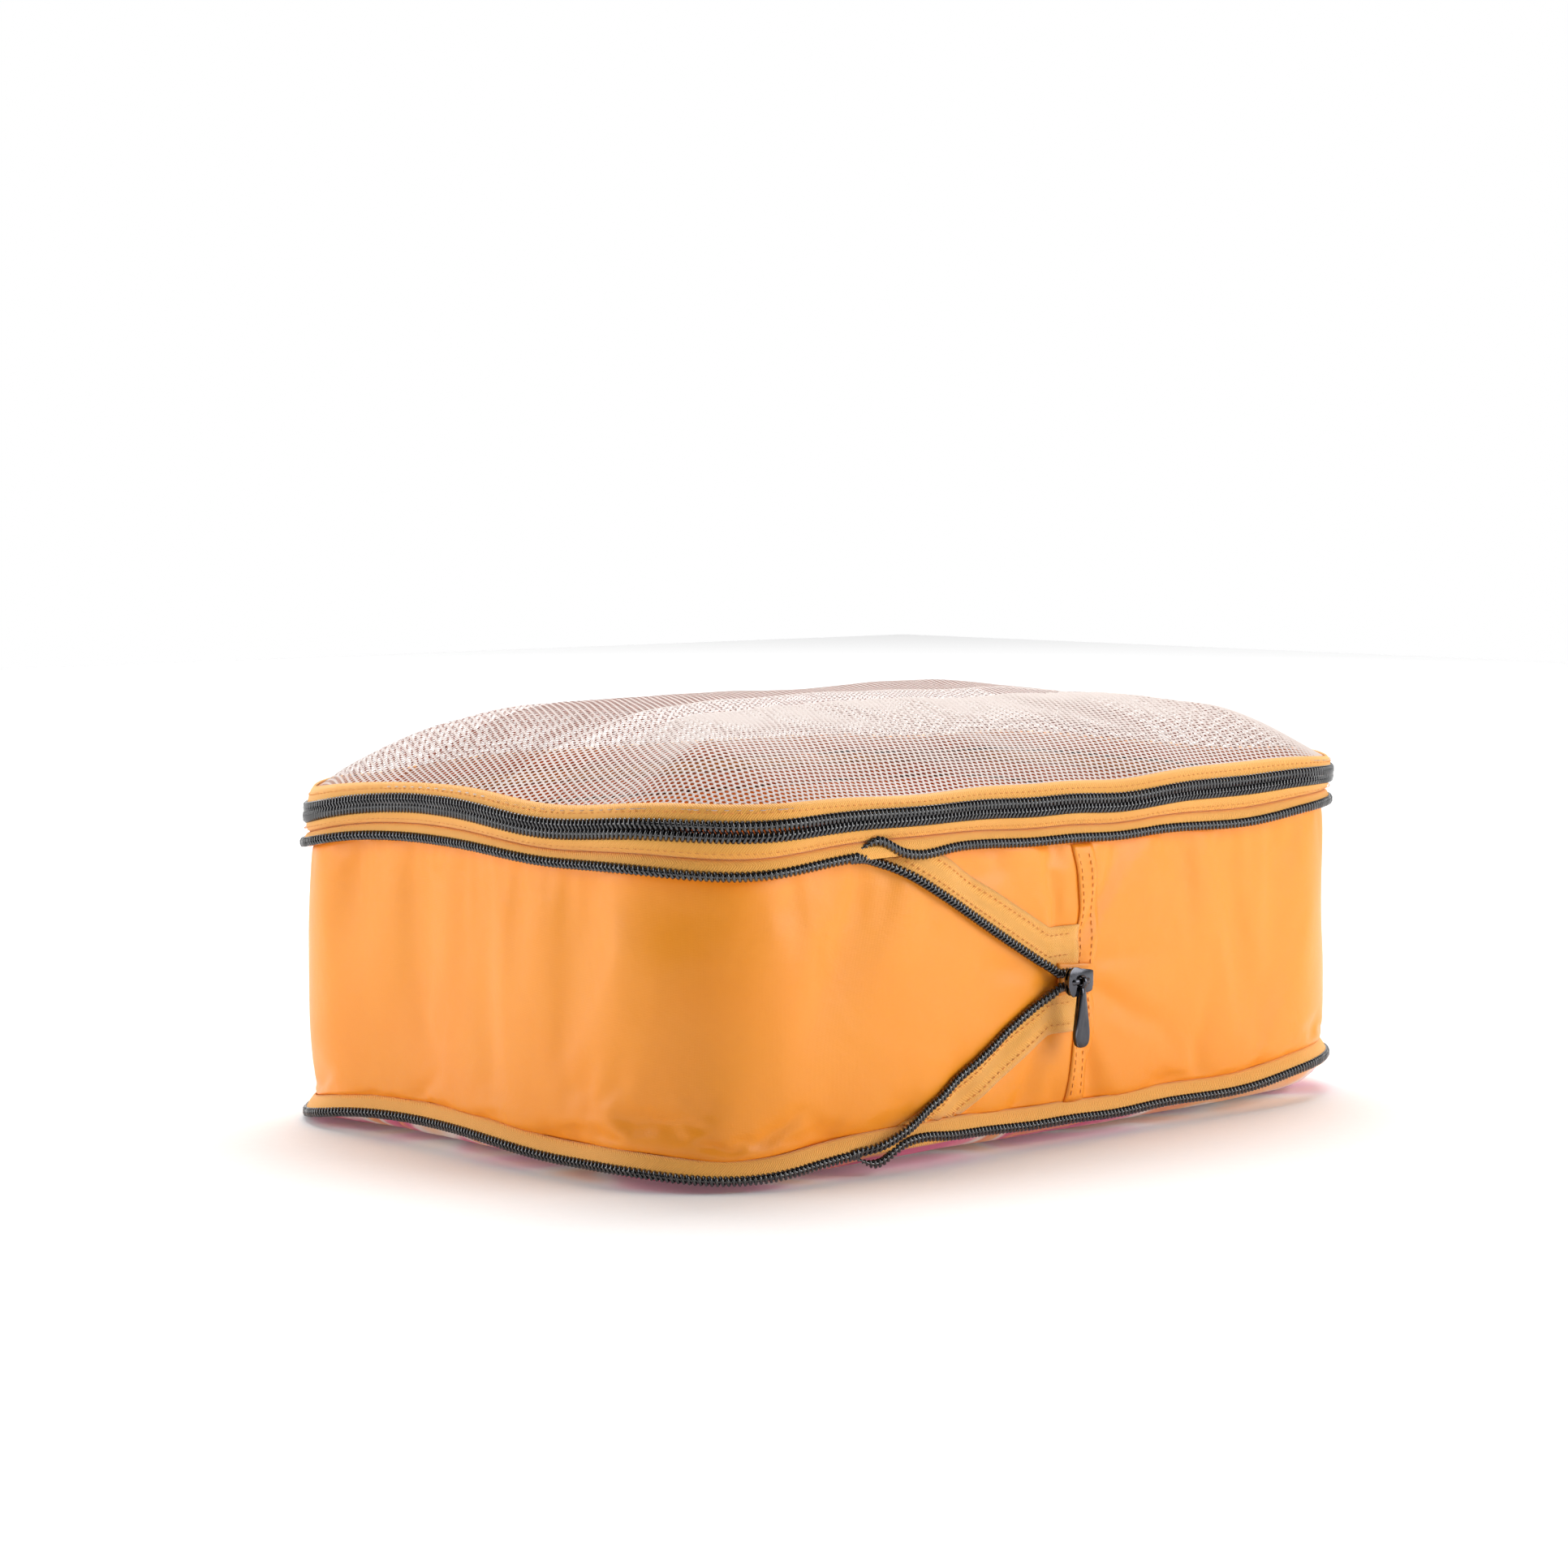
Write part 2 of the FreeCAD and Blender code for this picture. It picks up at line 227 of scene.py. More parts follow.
@dataclass(frozen=True)
class Softness:
    """The slack shape that all the cloth shares: lifted or hanging corners and slow waves."""

    plan: Plan
    levels: Levels
    corners: tuple[Corner, ...] = (
        Corner(1, -1, 5.0 * MM, 3.0 * MM, 2.2 * MM),
        Corner(-1, 1, -3.6 * MM, -4.4 * MM, -7.2 * MM),
        Corner(1, 1, 0.6 * MM, -0.2 * MM, -1.0 * MM),
        Corner(-1, -1, -2.4 * MM, -1.9 * MM, -1.0 * MM),
    )
    wave: float = 1.1 * MM
    sway: float = 1.2 * MM

    def move(self, points: np.ndarray) -> np.ndarray:
        """The points after the cloth has settled.

        Args:
            points: rows of x, y and z at the true shape.

        Returns:
            The moved rows.
        """
        moved = points.copy()
        x, y, z = points.T
        level = self.levels
        heights = (level.base_coil, level.top_coil, level.chain, level.dome)
        for corner in self.corners:
            weight = smooth((x * corner.side_x - 0.05) / 0.11) * smooth((y * corner.side_y - 0.02) / 0.09)
            lift = np.interp(z, heights, (corner.base, corner.top, corner.lid, corner.lid * 0.4))
            moved[:, 2] += weight * lift * np.clip(z / level.base_coil, 0, 1)
        distance, inset = self.plan.measure(points)
        turn = distance / self.plan.length * 2 * math.pi
        near_edge = smooth(1 - inset / 0.05)
        height = np.clip(z / level.base_coil, 0, 1)
        calm = self.calm(x, y)
        shift = 0.9 * np.clip((z - level.top_coil) / (level.chain - level.top_coil), 0, 2)
        slow = (np.sin(5 * turn + 0.6 + shift) + 0.7 * np.sin(9 * turn + 2.1 - shift)
                + 0.5 * np.sin(14 * turn + 4.0))
        moved[:, 2] += self.wave * slow * near_edge * calm * height
        ripple = np.sin(7 * turn + 1.3 + shift) + 0.6 * np.sin(12 * turn + 0.4 - shift)
        out_x, out_y = self.outwards(x, y)
        push = self.sway * ripple * near_edge * calm * height
        moved[:, 0] += out_x * push
        moved[:, 1] += out_y * push
        return moved

    def calm(self, x: np.ndarray, y: np.ndarray) -> np.ndarray:
        """0 where a slider sits on its coil and along the lid's hinge, 1 elsewhere."""
        at_front = np.exp(-(((x - SLIDER_X) / 0.03) ** 2) - ((y + self.plan.half_y) / 0.03) ** 2)
        at_end = np.exp(-(((x - self.plan.half_x) / 0.03) ** 2) - (y / 0.04) ** 2)
        at_hinge = smooth((y - 0.09) / 0.03) * smooth((0.135 - np.abs(x)) / 0.03)
        return 1 - np.clip(at_front + at_end + at_hinge, 0, 1)

    def outwards(self, x: np.ndarray, y: np.ndarray) -> tuple[np.ndarray, np.ndarray]:
        """The direction away from the middle, square to the nearest side or corner."""
        over_x = np.maximum(np.abs(x) - self.plan.run_x, 1e-6) * np.sign(x)
        over_y = np.maximum(np.abs(y) - self.plan.run_y, 1e-6) * np.sign(y)
        size = np.hypot(over_x, over_y)
        return over_x / size, over_y / size


# ---------------------------------------------------------------- mesh helpers


def read_points(mesh: bpy.types.Mesh) -> np.ndarray:
    """A mesh's vertices as rows."""
    points = np.zeros(len(mesh.vertices) * 3, np.float32)
    mesh.vertices.foreach_get("co", points)
    return points.reshape(-1, 3).astype(float)


def write_points(mesh: bpy.types.Mesh, points: np.ndarray) -> None:
    """Puts rows back as a mesh's vertices."""
    mesh.vertices.foreach_set("co", points.astype(np.float32).ravel())
    mesh.update()


def piece_from(bm: bmesh.types.BMesh, name: str) -> bpy.types.Object:
    """Makes an object of a bmesh and frees the bmesh."""
    mesh = bpy.data.meshes.new(name)
    bm.to_mesh(mesh)
    bm.free()
    piece = bpy.data.objects.new(name, mesh)
    bpy.context.scene.collection.objects.link(piece)
    return piece


def shade_smooth(piece: bpy.types.Object, angle: float = 40.0) -> None:
    """Smooth shading with sharp edges above angle, in degrees."""
    mesh = piece.data
    mesh.polygons.foreach_set("use_smooth", [True] * len(mesh.polygons))
    mesh.set_sharp_from_angle(angle=math.radians(angle))


def solidify(piece: bpy.types.Object, thickness: float, offset: float = -1.0) -> None:
    """Gives a sheet its thickness."""
    thicken = piece.modifiers.new("thickness", "SOLIDIFY")
    thicken.thickness = thickness
    thicken.offset = offset


def subdivide(piece: bpy.types.Object, levels: int = 1) -> None:
    """Smooths a piece with a subdivision surface."""
    surface = piece.modifiers.new("surface", "SUBSURF")
    surface.levels = levels
    surface.render_levels = levels


def apply_modifiers(piece: bpy.types.Object) -> None:
    """Bakes a piece's modifiers into its mesh."""
    graph = bpy.context.evaluated_depsgraph_get()
    graph.update()
    mesh = bpy.data.meshes.new_from_object(piece.evaluated_get(graph))
    piece.modifiers.clear()
    old = piece.data
    piece.data = mesh
    bpy.data.meshes.remove(old)


@dataclass
class Band:
    """A strip of cloth or tape carried once round the plan.

    Attributes:
        profile: inset and height of each point across the strip, from its bottom edge to its top edge.
    """

    name: str
    plan: Plan
    profile: list[tuple[float, float]]
    step: float = 4 * MM
    corner_steps: int = 20

    def build(self) -> bpy.types.Object:
        """Sweeps the profile round the plan and lays out its cloth map."""
        bm = bmesh.new()
        verts = [bm.verts.new((0.0, self.plan.half_y - inset, z)) for inset, z in self.profile]
        edges = [bm.edges.new(pair) for pair in zip(verts, verts[1:])]
        geom = verts + edges
        heading = Vector((-1.0, 0.0, 0.0))
        for turn, side in enumerate(self.plan.sides):
            steps = max(1, round(side / self.step))
            geom = bmesh.ops.spin(bm, geom=geom, cent=(0, 0, 0), axis=(0, 0, 1),
                                  dvec=heading * (side / steps), angle=0.0, steps=steps,
                                  use_duplicate=False)["geom_last"]
            if turn < len(CORNERS):
                side_x, side_y = CORNERS[turn]
                centre = (side_x * self.plan.run_x, side_y * self.plan.run_y, 0)
                geom = bmesh.ops.spin(bm, geom=geom, cent=centre, axis=(0, 0, 1), dvec=(0, 0, 0),
                                      angle=math.pi / 2, steps=self.corner_steps,
                                      use_duplicate=False)["geom_last"]
                heading = Matrix.Rotation(math.pi / 2, 3, "Z") @ heading
        bmesh.ops.remove_doubles(bm, verts=bm.verts, dist=0.02 * MM)
        self.face_out(bm)
        self.lay_map(bm)
        piece = piece_from(bm, self.name)
        shade_smooth(piece, 60)
        return piece

    def face_out(self, bm: bmesh.types.BMesh) -> None:
        """Turns every face the way of the profile's left hand, which is outwards."""
        low, high = Vector(self.profile[0]), Vector(self.profile[-1])
        along = high - low
        bm.normal_update()
        face = min(bm.faces, key=lambda f: abs(f.calc_center_median().x) - f.calc_center_median().y)
        outward = Vector((0.0, along.y, along.x))
        if face.normal.dot(outward) < 0:
            bmesh.ops.reverse_faces(bm, faces=bm.faces)

    def lay_map(self, bm: bmesh.types.BMesh) -> None:
        """Writes distance round and distance across, in metres, as the cloth's own map."""
        layer = bm.loops.layers.uv.new(UV)
        points = np.array([v.co[:] for v in bm.verts])
        distance, inset = self.plan.measure(points)
        across = self.across(inset, points[:, 2])
        bm.verts.index_update()
        for face in bm.faces:
            along = [distance[loop.vert.index] for loop in face.loops]
            wraps = max(along) - min(along) > self.plan.length / 2
            for loop, value in zip(face.loops, along):
                extra = self.plan.length if wraps and value < self.plan.length / 2 else 0.0
                loop[layer].uv = (value + extra, across[loop.vert.index])

    def across(self, inset: np.ndarray, z: np.ndarray) -> np.ndarray:
        """How far along the profile each point is."""
        best = np.full(len(inset), 1e9)
        found = np.zeros(len(inset))
        walked = 0.0
        for start, end in zip(self.profile, self.profile[1:]):
            run = np.array(end) - np.array(start)
            size = float(np.hypot(*run))
            share = np.clip(((inset - start[0]) * run[0] + (z - start[1]) * run[1]) / size**2, 0, 1)
            gap = np.hypot(inset - start[0] - share * run[0], z - start[1] - share * run[1])
            found = np.where(gap < best, walked + share * size, found)
            best = np.minimum(best, gap)
            walked += size
        return found


def flatten_map(piece: bpy.types.Object) -> None:
    """Lays a piece's cloth map straight down X and Z, for what lies on the front."""
    mesh = piece.data
    layer = mesh.uv_layers.get(UV) or mesh.uv_layers.new(name=UV)
    for loop in mesh.loops:
        place = mesh.vertices[loop.vertex_index].co
        layer.data[loop.index].uv = (place.x, place.z)


# ---------------------------------------------------------------- finishes


class Bench:
    """A material's node tree, with short calls for adding and joining nodes."""

    def __init__(self, name: str) -> None:
        """Starts a material with an empty tree."""
        self.material = bpy.data.materials.new(name)
        self.material.use_nodes = True
        self.tree = self.material.node_tree
        self.tree.nodes.clear()

    def add(self, kind: str, **settings: NodeValue) -> bpy.types.Node:
        """Adds a node and sets its properties or sockets by name.

        Args:
            kind: the node's type without its ShaderNode start.
            settings: property values, or socket values where the node has no such property.

        Returns:
            The node.
        """
        node = self.tree.nodes.new("ShaderNode" + kind)
        for key, value in settings.items():
            if hasattr(node, key):
                setattr(node, key, value)
            else:
                self.plug(node, key.replace("_", " "), value)
        return node

    def plug(self, node: bpy.types.Node, socket: str, value: NodeValue) -> None:
        """Sets a socket, or joins it to another node's first output or to a given output."""
        names = {s.name.lower(): s for s in reversed(node.inputs)}
        target = node.inputs[int(socket)] if socket.isdigit() else names[socket.lower()]
        if isinstance(value, bpy.types.Node):
            value = value.outputs[0]
        if isinstance(value, bpy.types.NodeSocket):
            self.tree.links.new(value, target)
        else:
            target.default_value = value

    def math(self, operation: str, first: NodeValue, second: NodeValue = 0.0,
             third: NodeValue = 0.0) -> bpy.types.Node:
        """A Math node of up to three values."""
        node = self.tree.nodes.new("ShaderNodeMath")
        node.operation = operation
        for index, value in enumerate((first, second, third)):
            self.plug(node, str(index), value)
        return node

    def mix(self, share: NodeValue, first: NodeValue, second: NodeValue) -> bpy.types.NodeSocket:
        """A colour between two, by share."""
        node = self.tree.nodes.new("ShaderNodeMix")
        node.data_type = "RGBA"
        for index, value in ((0, share), (6, first), (7, second)):
            self.plug(node, str(index), value)
        return node.outputs[2]

    def ramp(self, share: NodeValue,
             stops: tuple[tuple[float, tuple[float, float, float]], ...]) -> bpy.types.Node:
        """A colour ramp over share."""
        node = self.tree.nodes.new("ShaderNodeValToRGB")
        self.plug(node, "0", share)
        elements = node.color_ramp.elements
        while len(elements) < len(stops):
            elements.new(0.5)
        for element, (place, colour) in zip(elements, stops):
            element.position = place
            element.color = (*colour, 1.0)
        return node

    def cloth_map(self) -> tuple[bpy.types.NodeSocket, bpy.types.NodeSocket, bpy.types.NodeSocket]:
        """The cloth's own map: the vector, the distance along and the distance across."""
        source = self.add("UVMap", uv_map=UV)
        split = self.add("SeparateXYZ", Vector=source)
        return source.outputs[0], split.outputs[0], split.outputs[1]

    def place(self) -> bpy.types.NodeSocket:
        """Object coordinates."""
        return self.add("TexCoord").outputs["Object"]

    def noise(self, vector: NodeValue, scale: float, detail: float = 3.0,
              distortion: float = 0.0) -> bpy.types.Node:
        """A noise texture's value."""
        return self.add("TexNoise", Vector=vector, Scale=scale, Detail=detail, Distortion=distortion)

    def ridges(self, value: NodeValue, pitch: float) -> bpy.types.Node:
        """A 0 to 1 wave with the given pitch along value."""
        turned = self.math("MULTIPLY", value, 2 * math.pi / pitch)
        return self.math("MULTIPLY_ADD", self.math("SINE", turned), 0.5, 0.5)

    def bump(self, height: NodeValue, distance: float, strength: float = 1.0,
             under: Optional[NodeValue] = None) -> bpy.types.Node:
        """A bump of height times distance, over another bump if given."""
        node = self.add("Bump", Height=height, Distance=distance, Strength=strength)
        if under is not None:
            self.plug(node, "Normal", under)
        return node

    def finish(self, **sockets: NodeValue) -> bpy.types.Material:
        """Ends the tree with a Principled shader."""
        shader = self.tree.nodes.new("ShaderNodeBsdfPrincipled")
        for key, value in sockets.items():
            self.plug(shader, key.replace("_", " "), value)
        output = self.tree.nodes.new("ShaderNodeOutputMaterial")
        self.tree.links.new(shader.outputs[0], output.inputs[0])
        return self.material


@dataclass(frozen=True)
class SatinNylon:
    """Fine plain-woven nylon with a satin sheen."""

    light: tuple[float, float, float] = (1.0, 0.375, 0.02)
    deep: tuple[float, float, float] = (0.97, 0.28, 0.008)
    thread: float = 0.42 * MM

    def make(self) -> bpy.types.Material:
        """The material."""
        bench = Bench("satin_nylon")
        vector, along, across = bench.cloth_map()
        place = bench.place()
        warp, weft = bench.ridges(along, self.thread), bench.ridges(across, self.thread * 1.2)
        weave = bench.math("MULTIPLY", warp, weft)
        cloud = bench.noise(place, 22.0, 4.0)
        slub = bench.noise(bench.add("Mapping", Vector=vector, Scale=(60, 900, 1)), 4.0, 2.0)
        shade = bench.math("MULTIPLY_ADD", cloud, 0.7, bench.math("MULTIPLY", slub, 0.25))
        colour = bench.mix(shade, (*self.light, 1), (*self.deep, 1))
        colour = bench.mix(bench.math("MULTIPLY", weave, 0.16), colour, (*self.deep, 1))
        creases = bench.bump(bench.noise(place, 55.0, 5.0, 0.4), 0.9 * MM, 0.5)
        threads = bench.bump(weave, 0.05 * MM, 0.5, creases)
        roughness = bench.math("MULTIPLY_ADD", cloud, 0.12, 0.3)
        return bench.finish(Base_Color=colour, Roughness=roughness, Normal=threads, Sheen_Weight=0.1,
                            Sheen_Roughness=0.4, Specular_IOR_Level=0.5, Anisotropic=0.3,
                            Sheen_Tint=(1.0, 0.75, 0.5, 1.0))


@dataclass(frozen=True)
class HerringboneTape:
    """Woven zipper tape with a chevron twill."""

    light: tuple[float, float, float] = (1.0, 0.50, 0.085)
    deep: tuple[float, float, float] = (0.95, 0.36, 0.045)
    twill: float = 0.95 * MM
    chevron: float = 3.2 * MM

    def make(self) -> bpy.types.Material:
        """The material."""
        bench = Bench("herringbone_tape")
        _, along, across = bench.cloth_map()
        fold = bench.math("PINGPONG", across, self.chevron)
        slant = bench.math("ADD", along, fold)
        twill = bench.ridges(slant, self.twill)
        yarn = bench.ridges(across, 0.35 * MM)
        cloud = bench.noise(bench.place(), 60.0, 3.0)
        line = bench.math("POWER", twill, 2.0)
        share = bench.math("MULTIPLY_ADD", line, 0.55, bench.math("MULTIPLY", cloud, 0.25))
        colour = bench.mix(share, (*self.light, 1), (*self.deep, 1))
        height = bench.math("SUBTRACT", bench.math("MULTIPLY", yarn, 0.25), line)
        return bench.finish(Base_Color=colour, Roughness=0.62, Normal=bench.bump(height, 0.16 * MM, 0.8),
                            Sheen_Weight=0.3, Sheen_Roughness=0.5)


@dataclass(frozen=True)
class Grosgrain:
    """Ribbed binding over the raw seams inside."""

    light: tuple[float, float, float] = (0.93, 0.33, 0.05)
    deep: tuple[float, float, float] = (0.62, 0.17, 0.02)

    def make(self) -> bpy.types.Material:
        """The material."""
        bench = Bench("grosgrain")
        _, along, _ = bench.cloth_map()
        ribs = bench.ridges(along, 0.9 * MM)
        cloud = bench.noise(bench.place(), 80.0)
        share = bench.math("MULTIPLY_ADD", ribs, 0.5, bench.math("MULTIPLY", cloud, 0.3))
        colour = bench.mix(share, (*self.deep, 1), (*self.light, 1))
        return bench.finish(Base_Color=colour, Roughness=0.7, Normal=bench.bump(ribs, 0.2 * MM, 0.7),
                            Sheen_Weight=0.2)


@dataclass(frozen=True)
class WavePrint:
    """Nylon printed with loose bands of warm colours."""

    stops: tuple = ((0.0, (0.66, 0.01, 0.16)), (0.17, (0.80, 0.05, 0.23)), (0.3, (0.9, 0.16, 0.28)),
                    (0.42, (0.93, 0.82, 0.76)), (0.5, (0.92, 0.26, 0.05)), (0.64, (0.98, 0.42, 0.09)),
                    (0.74, (0.93, 0.80, 0.72)), (0.84, (0.78, 0.04, 0.2)), (1.0, (0.96, 0.3, 0.07)))

    def make(self) -> bpy.types.Material:
        """The material."""
        bench = Bench("wave_print")
        place = bench.place()
        drift = bench.noise(place, 9.0, 1.5, 1.2)
        split = bench.add("SeparateXYZ", Vector=place)
        rise = bench.math("MULTIPLY", split.outputs[1], 14.0)
        slant = bench.math("MULTIPLY_ADD", split.outputs[0], 10.0, rise)
        bands = bench.math("FRACT", bench.math("MULTIPLY_ADD", drift, 2.6, slant))
        colour = bench.ramp(bands, self.stops)
        colour.color_ramp.interpolation = "EASE"
        weave = bench.math("MULTIPLY", bench.ridges(split.outputs[0], 0.45 * MM),
                           bench.ridges(split.outputs[1], 0.45 * MM))
        creases = bench.bump(bench.noise(place, 40.0, 4.0), 0.8 * MM, 0.5)
        return bench.finish(Base_Color=colour, Roughness=0.42, Sheen_Weight=0.2,
                            Normal=bench.bump(weave, 0.04 * MM, 0.5, creases))


@dataclass(frozen=True)
class NetYarn:
    """Pale polyester yarn of the lid's net."""

    light: tuple[float, float, float] = (0.66, 0.56, 0.51)
    deep: tuple[float, float, float] = (0.50, 0.38, 0.33)

    def make(self) -> bpy.types.Material:
        """The material."""
        bench = Bench("net_yarn")
        place = bench.place()
        fibre = bench.noise(place, 1500.0, 2.0)
        cloud = bench.noise(place, 14.0, 3.0)
        share = bench.math("MULTIPLY_ADD", fibre, 0.5, bench.math("MULTIPLY", cloud, 0.4))
        colour = bench.mix(share, (*self.light, 1), (*self.deep, 1))
        return bench.finish(Base_Color=colour, Roughness=0.55, Normal=bench.bump(fibre, 0.1 * MM, 0.6),
                            Sheen_Weight=0.35, Sheen_Roughness=0.5, Transmission_Weight=0.0,
                            Subsurface_Weight=0.0)


@dataclass(frozen=True)
class CoilNylon:
    """Glossy black monofilament of the zipper coils."""

    black: tuple[float, float, float] = (0.006, 0.006, 0.008)

    def make(self) -> bpy.types.Material:
        """The material."""
        bench = Bench("coil_nylon")
        place = bench.place()
        cloud = bench.noise(place, 400.0, 2.0)
        colour = bench.mix(cloud, (*self.black, 1), (0.01, 0.01, 0.012, 1))
        roughness = bench.math("MULTIPLY_ADD", cloud, 0.1, 0.1)
        return bench.finish(Base_Color=colour, Roughness=roughness, Specular_IOR_Level=0.9, Coat_Weight=0.5,
                            Coat_Roughness=0.08, Normal=bench.bump(cloud, 0.02 * MM, 0.4))


@dataclass(frozen=True)
class BlackNickel:
    """Polished black nickel plating with scuffs, its sharp edges lightened as a painted highlight."""

    dark: tuple[float, float, float] = (0.045, 0.047, 0.055)
    # pale tone of the scuffs and of the painted highlight on sharp edges
    rubbed: tuple[float, float, float] = (0.2, 0.2, 0.22)

    def make(self) -> bpy.types.Material:
        """The material."""
        bench = Bench("black_nickel")
        place = bench.place()
        scuffs = bench.noise(bench.add("Mapping", Vector=place, Scale=(1, 1, 0.3)), 900.0, 4.0)
        edge = bench.add("NewGeometry").outputs["Pointiness"]
        # painted highlight: convex edges, found by pointiness, are lightened towards the pale tone
        painted_edge_highlight = bench.math("MULTIPLY", bench.math("SUBTRACT", edge, 0.5), 6.0)
        share = bench.math("MAXIMUM", bench.math("MULTIPLY", scuffs, 0.35), painted_edge_highlight)
        share.use_clamp = True
        # the pale tone shows both the scuffs and the painted edge highlight
        colour = bench.mix(share, (*self.dark, 1), (*self.rubbed, 1))
        roughness = bench.math("MULTIPLY_ADD", scuffs, 0.2, 0.08)
        return bench.finish(Base_Color=colour, Metallic=1.0, Roughness=roughness,
                            Normal=bench.bump(scuffs, 0.02 * MM, 0.3))


@dataclass(frozen=True)
class StitchThread:
    """Twisted polyester sewing thread."""

    colour: tuple[float, float, float] = (0.98, 0.42, 0.10)

    def make(self) -> bpy.types.Material:
        """The material."""
        bench = Bench("stitch_thread")
        place = bench.place()
        split = bench.add("SeparateXYZ", Vector=place)
        lean = bench.math("ADD", split.outputs[0], split.outputs[2])
        twist = bench.ridges(lean, 0.5 * MM)
        tone = bench.mix(twist, (*self.colour, 1), (0.75, 0.25, 0.04, 1))
        return bench.finish(Base_Color=tone, Roughness=0.55, Normal=bench.bump(twist, 0.08 * MM, 0.7))


@dataclass(frozen=True)
class StudioPaper:
    """The pale floor."""

    tone: float = 0.86
    glow: float = 0.06

    def make(self) -> bpy.types.Material:
        """The material."""
        bench = Bench("studio_paper")
        grain = bench.noise(bench.place(), 300.0, 3.0)
        colour = bench.mix(grain, (self.tone, self.tone, self.tone, 1), (self.tone + 0.04,) * 3 + (1,))
        return bench.finish(Base_Color=colour, Roughness=0.9, Specular_IOR_Level=0.1,
                            Emission_Color=(1.0, 1.0, 1.0, 1.0), Emission_Strength=self.glow)


@dataclass
class Finishes:
    """Every material of the cube, made once."""

    nylon: bpy.types.Material = field(default_factory=lambda: SatinNylon().make())
    tape: bpy.types.Material = field(default_factory=lambda: HerringboneTape().make())
    binding: bpy.types.Material = field(default_factory=lambda: Grosgrain().make())
    print: bpy.types.Material = field(default_factory=lambda: WavePrint().make())
    net: bpy.types.Material = field(default_factory=lambda: NetYarn().make())
    coil: bpy.types.Material = field(default_factory=lambda: CoilNylon().make())
    metal: bpy.types.Material = field(default_factory=lambda: BlackNickel().make())
    thread: bpy.types.Material = field(default_factory=lambda: StitchThread().make())


# ---------------------------------------------------------------- what every sub-assembly shares


@dataclass
class Workshop:
    """The plan, levels, soft shape and finishes that the sub-assemblies work with."""

    plan: Plan
    levels: Levels
    softness: Softness
    finishes: Finishes

    def settle(self, piece: bpy.types.Object) -> None:
        """Moves a piece's mesh into the cloth's slack shape."""
        write_points(piece.data, self.softness.move(read_points(piece.data)))

    def dress(self, piece: bpy.types.Object, material: bpy.types.Material, slot: Slot,
              replaces: tuple[str, ...] = ()) -> None:
        """Gives a piece its material and hides the nodes it stands for."""
        piece.data.materials.clear()
        piece.data.materials.append(material)
        if replaces:
            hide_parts(*replaces)
        LOG.info("piece %s: %d faces", piece.name, len(piece.data.polygons))

    def band(self, name: str, profile: list[tuple[float, float]], thickness: float) -> bpy.types.Object:
        """A strip round the plan, in millimetres, with its thickness to the inside."""
        piece = Band(name, self.plan, [(a * MM, b * MM) for a, b in profile]).build()
        self.settle(piece)
        solidify(piece, thickness)
        return piece


@dataclass
class CoilRow:
    """One row of zipper coil, a helix of monofilament round a cord.

    Attributes:
        centres: the middle of the row at each step along it.
        outward: the direction out of the cloth at each step.
        across: the direction across the row at each step.
        taper: metres over which the row thins at its start and at its end.
    """

    name: str
    centres: np.ndarray
    outward: np.ndarray
    across: np.ndarray
    pitch: float = 1.81 * MM
    half_width: float = 1.32 * MM
    half_depth: float = 0.62 * MM
    wire: float = 0.6 * MM
    turn_points: int = 8
    phase: float = 0.0
    hand: int = 1
    taper: tuple[float, float] = (0.0, 0.0)

    def build(self) -> bpy.types.Object:
        """Winds the coil along the path and makes it a mesh."""
        gaps = np.linalg.norm(np.diff(self.centres, axis=0), axis=1)
        walked = np.concatenate([[0], np.cumsum(gaps)])
        turns = walked[-1] / self.pitch
        count = int(turns * self.turn_points)
        at = np.linspace(0, walked[-1], count)
        centre, out, over = (np.stack([np.interp(at, walked, rows[:, k]) for k in range(3)], 1)
                             for rows in (self.centres, self.outward, self.across))
        angle = at / self.pitch * 2 * math.pi + self.phase
        size = np.ones(count)
        for end, length in enumerate(self.taper):
            if length > 0:
                gap = at if end == 0 else walked[-1] - at
                size *= 0.35 + 0.65 * smooth(gap / length)
        sine, cosine = np.sin(angle), np.cos(angle)
        wide = np.sign(cosine) * np.abs(cosine) ** 0.8 * self.half_width * self.hand
        deep = np.sign(sine) * np.abs(sine) ** 0.8 * self.half_depth
        points = centre + over * (wide * size)[:, None] + out * (deep * size)[:, None]
        curve = bpy.data.curves.new(self.name, "CURVE")
        curve.dimensions = "3D"
        curve.bevel_depth = self.wire
        curve.bevel_resolution = 1
        curve.use_fill_caps = True
        self.spline(curve, points, size)
        self.spline(curve, centre[::4], 1.35 * size[::4])
        holder = bpy.data.objects.new(self.name + "_curve", curve)
        mesh = bpy.data.meshes.new_from_object(holder)
        mesh.name = self.name
        bpy.data.objects.remove(holder)
        bpy.data.curves.remove(curve)
        piece = bpy.data.objects.new(self.name, mesh)
        bpy.context.scene.collection.objects.link(piece)
        mesh.polygons.foreach_set("use_smooth", [True] * len(mesh.polygons))
        return piece

    @staticmethod
    def spline(curve: bpy.types.Curve, points: np.ndarray, radii: np.ndarray) -> None:
        """Adds an open run of points to the curve."""
        run = curve.splines.new("POLY")
        run.points.add(len(points) - 1)
        run.points.foreach_set("co", np.column_stack([points, np.ones(len(points))]).ravel())
        run.points.foreach_set("radius", radii)


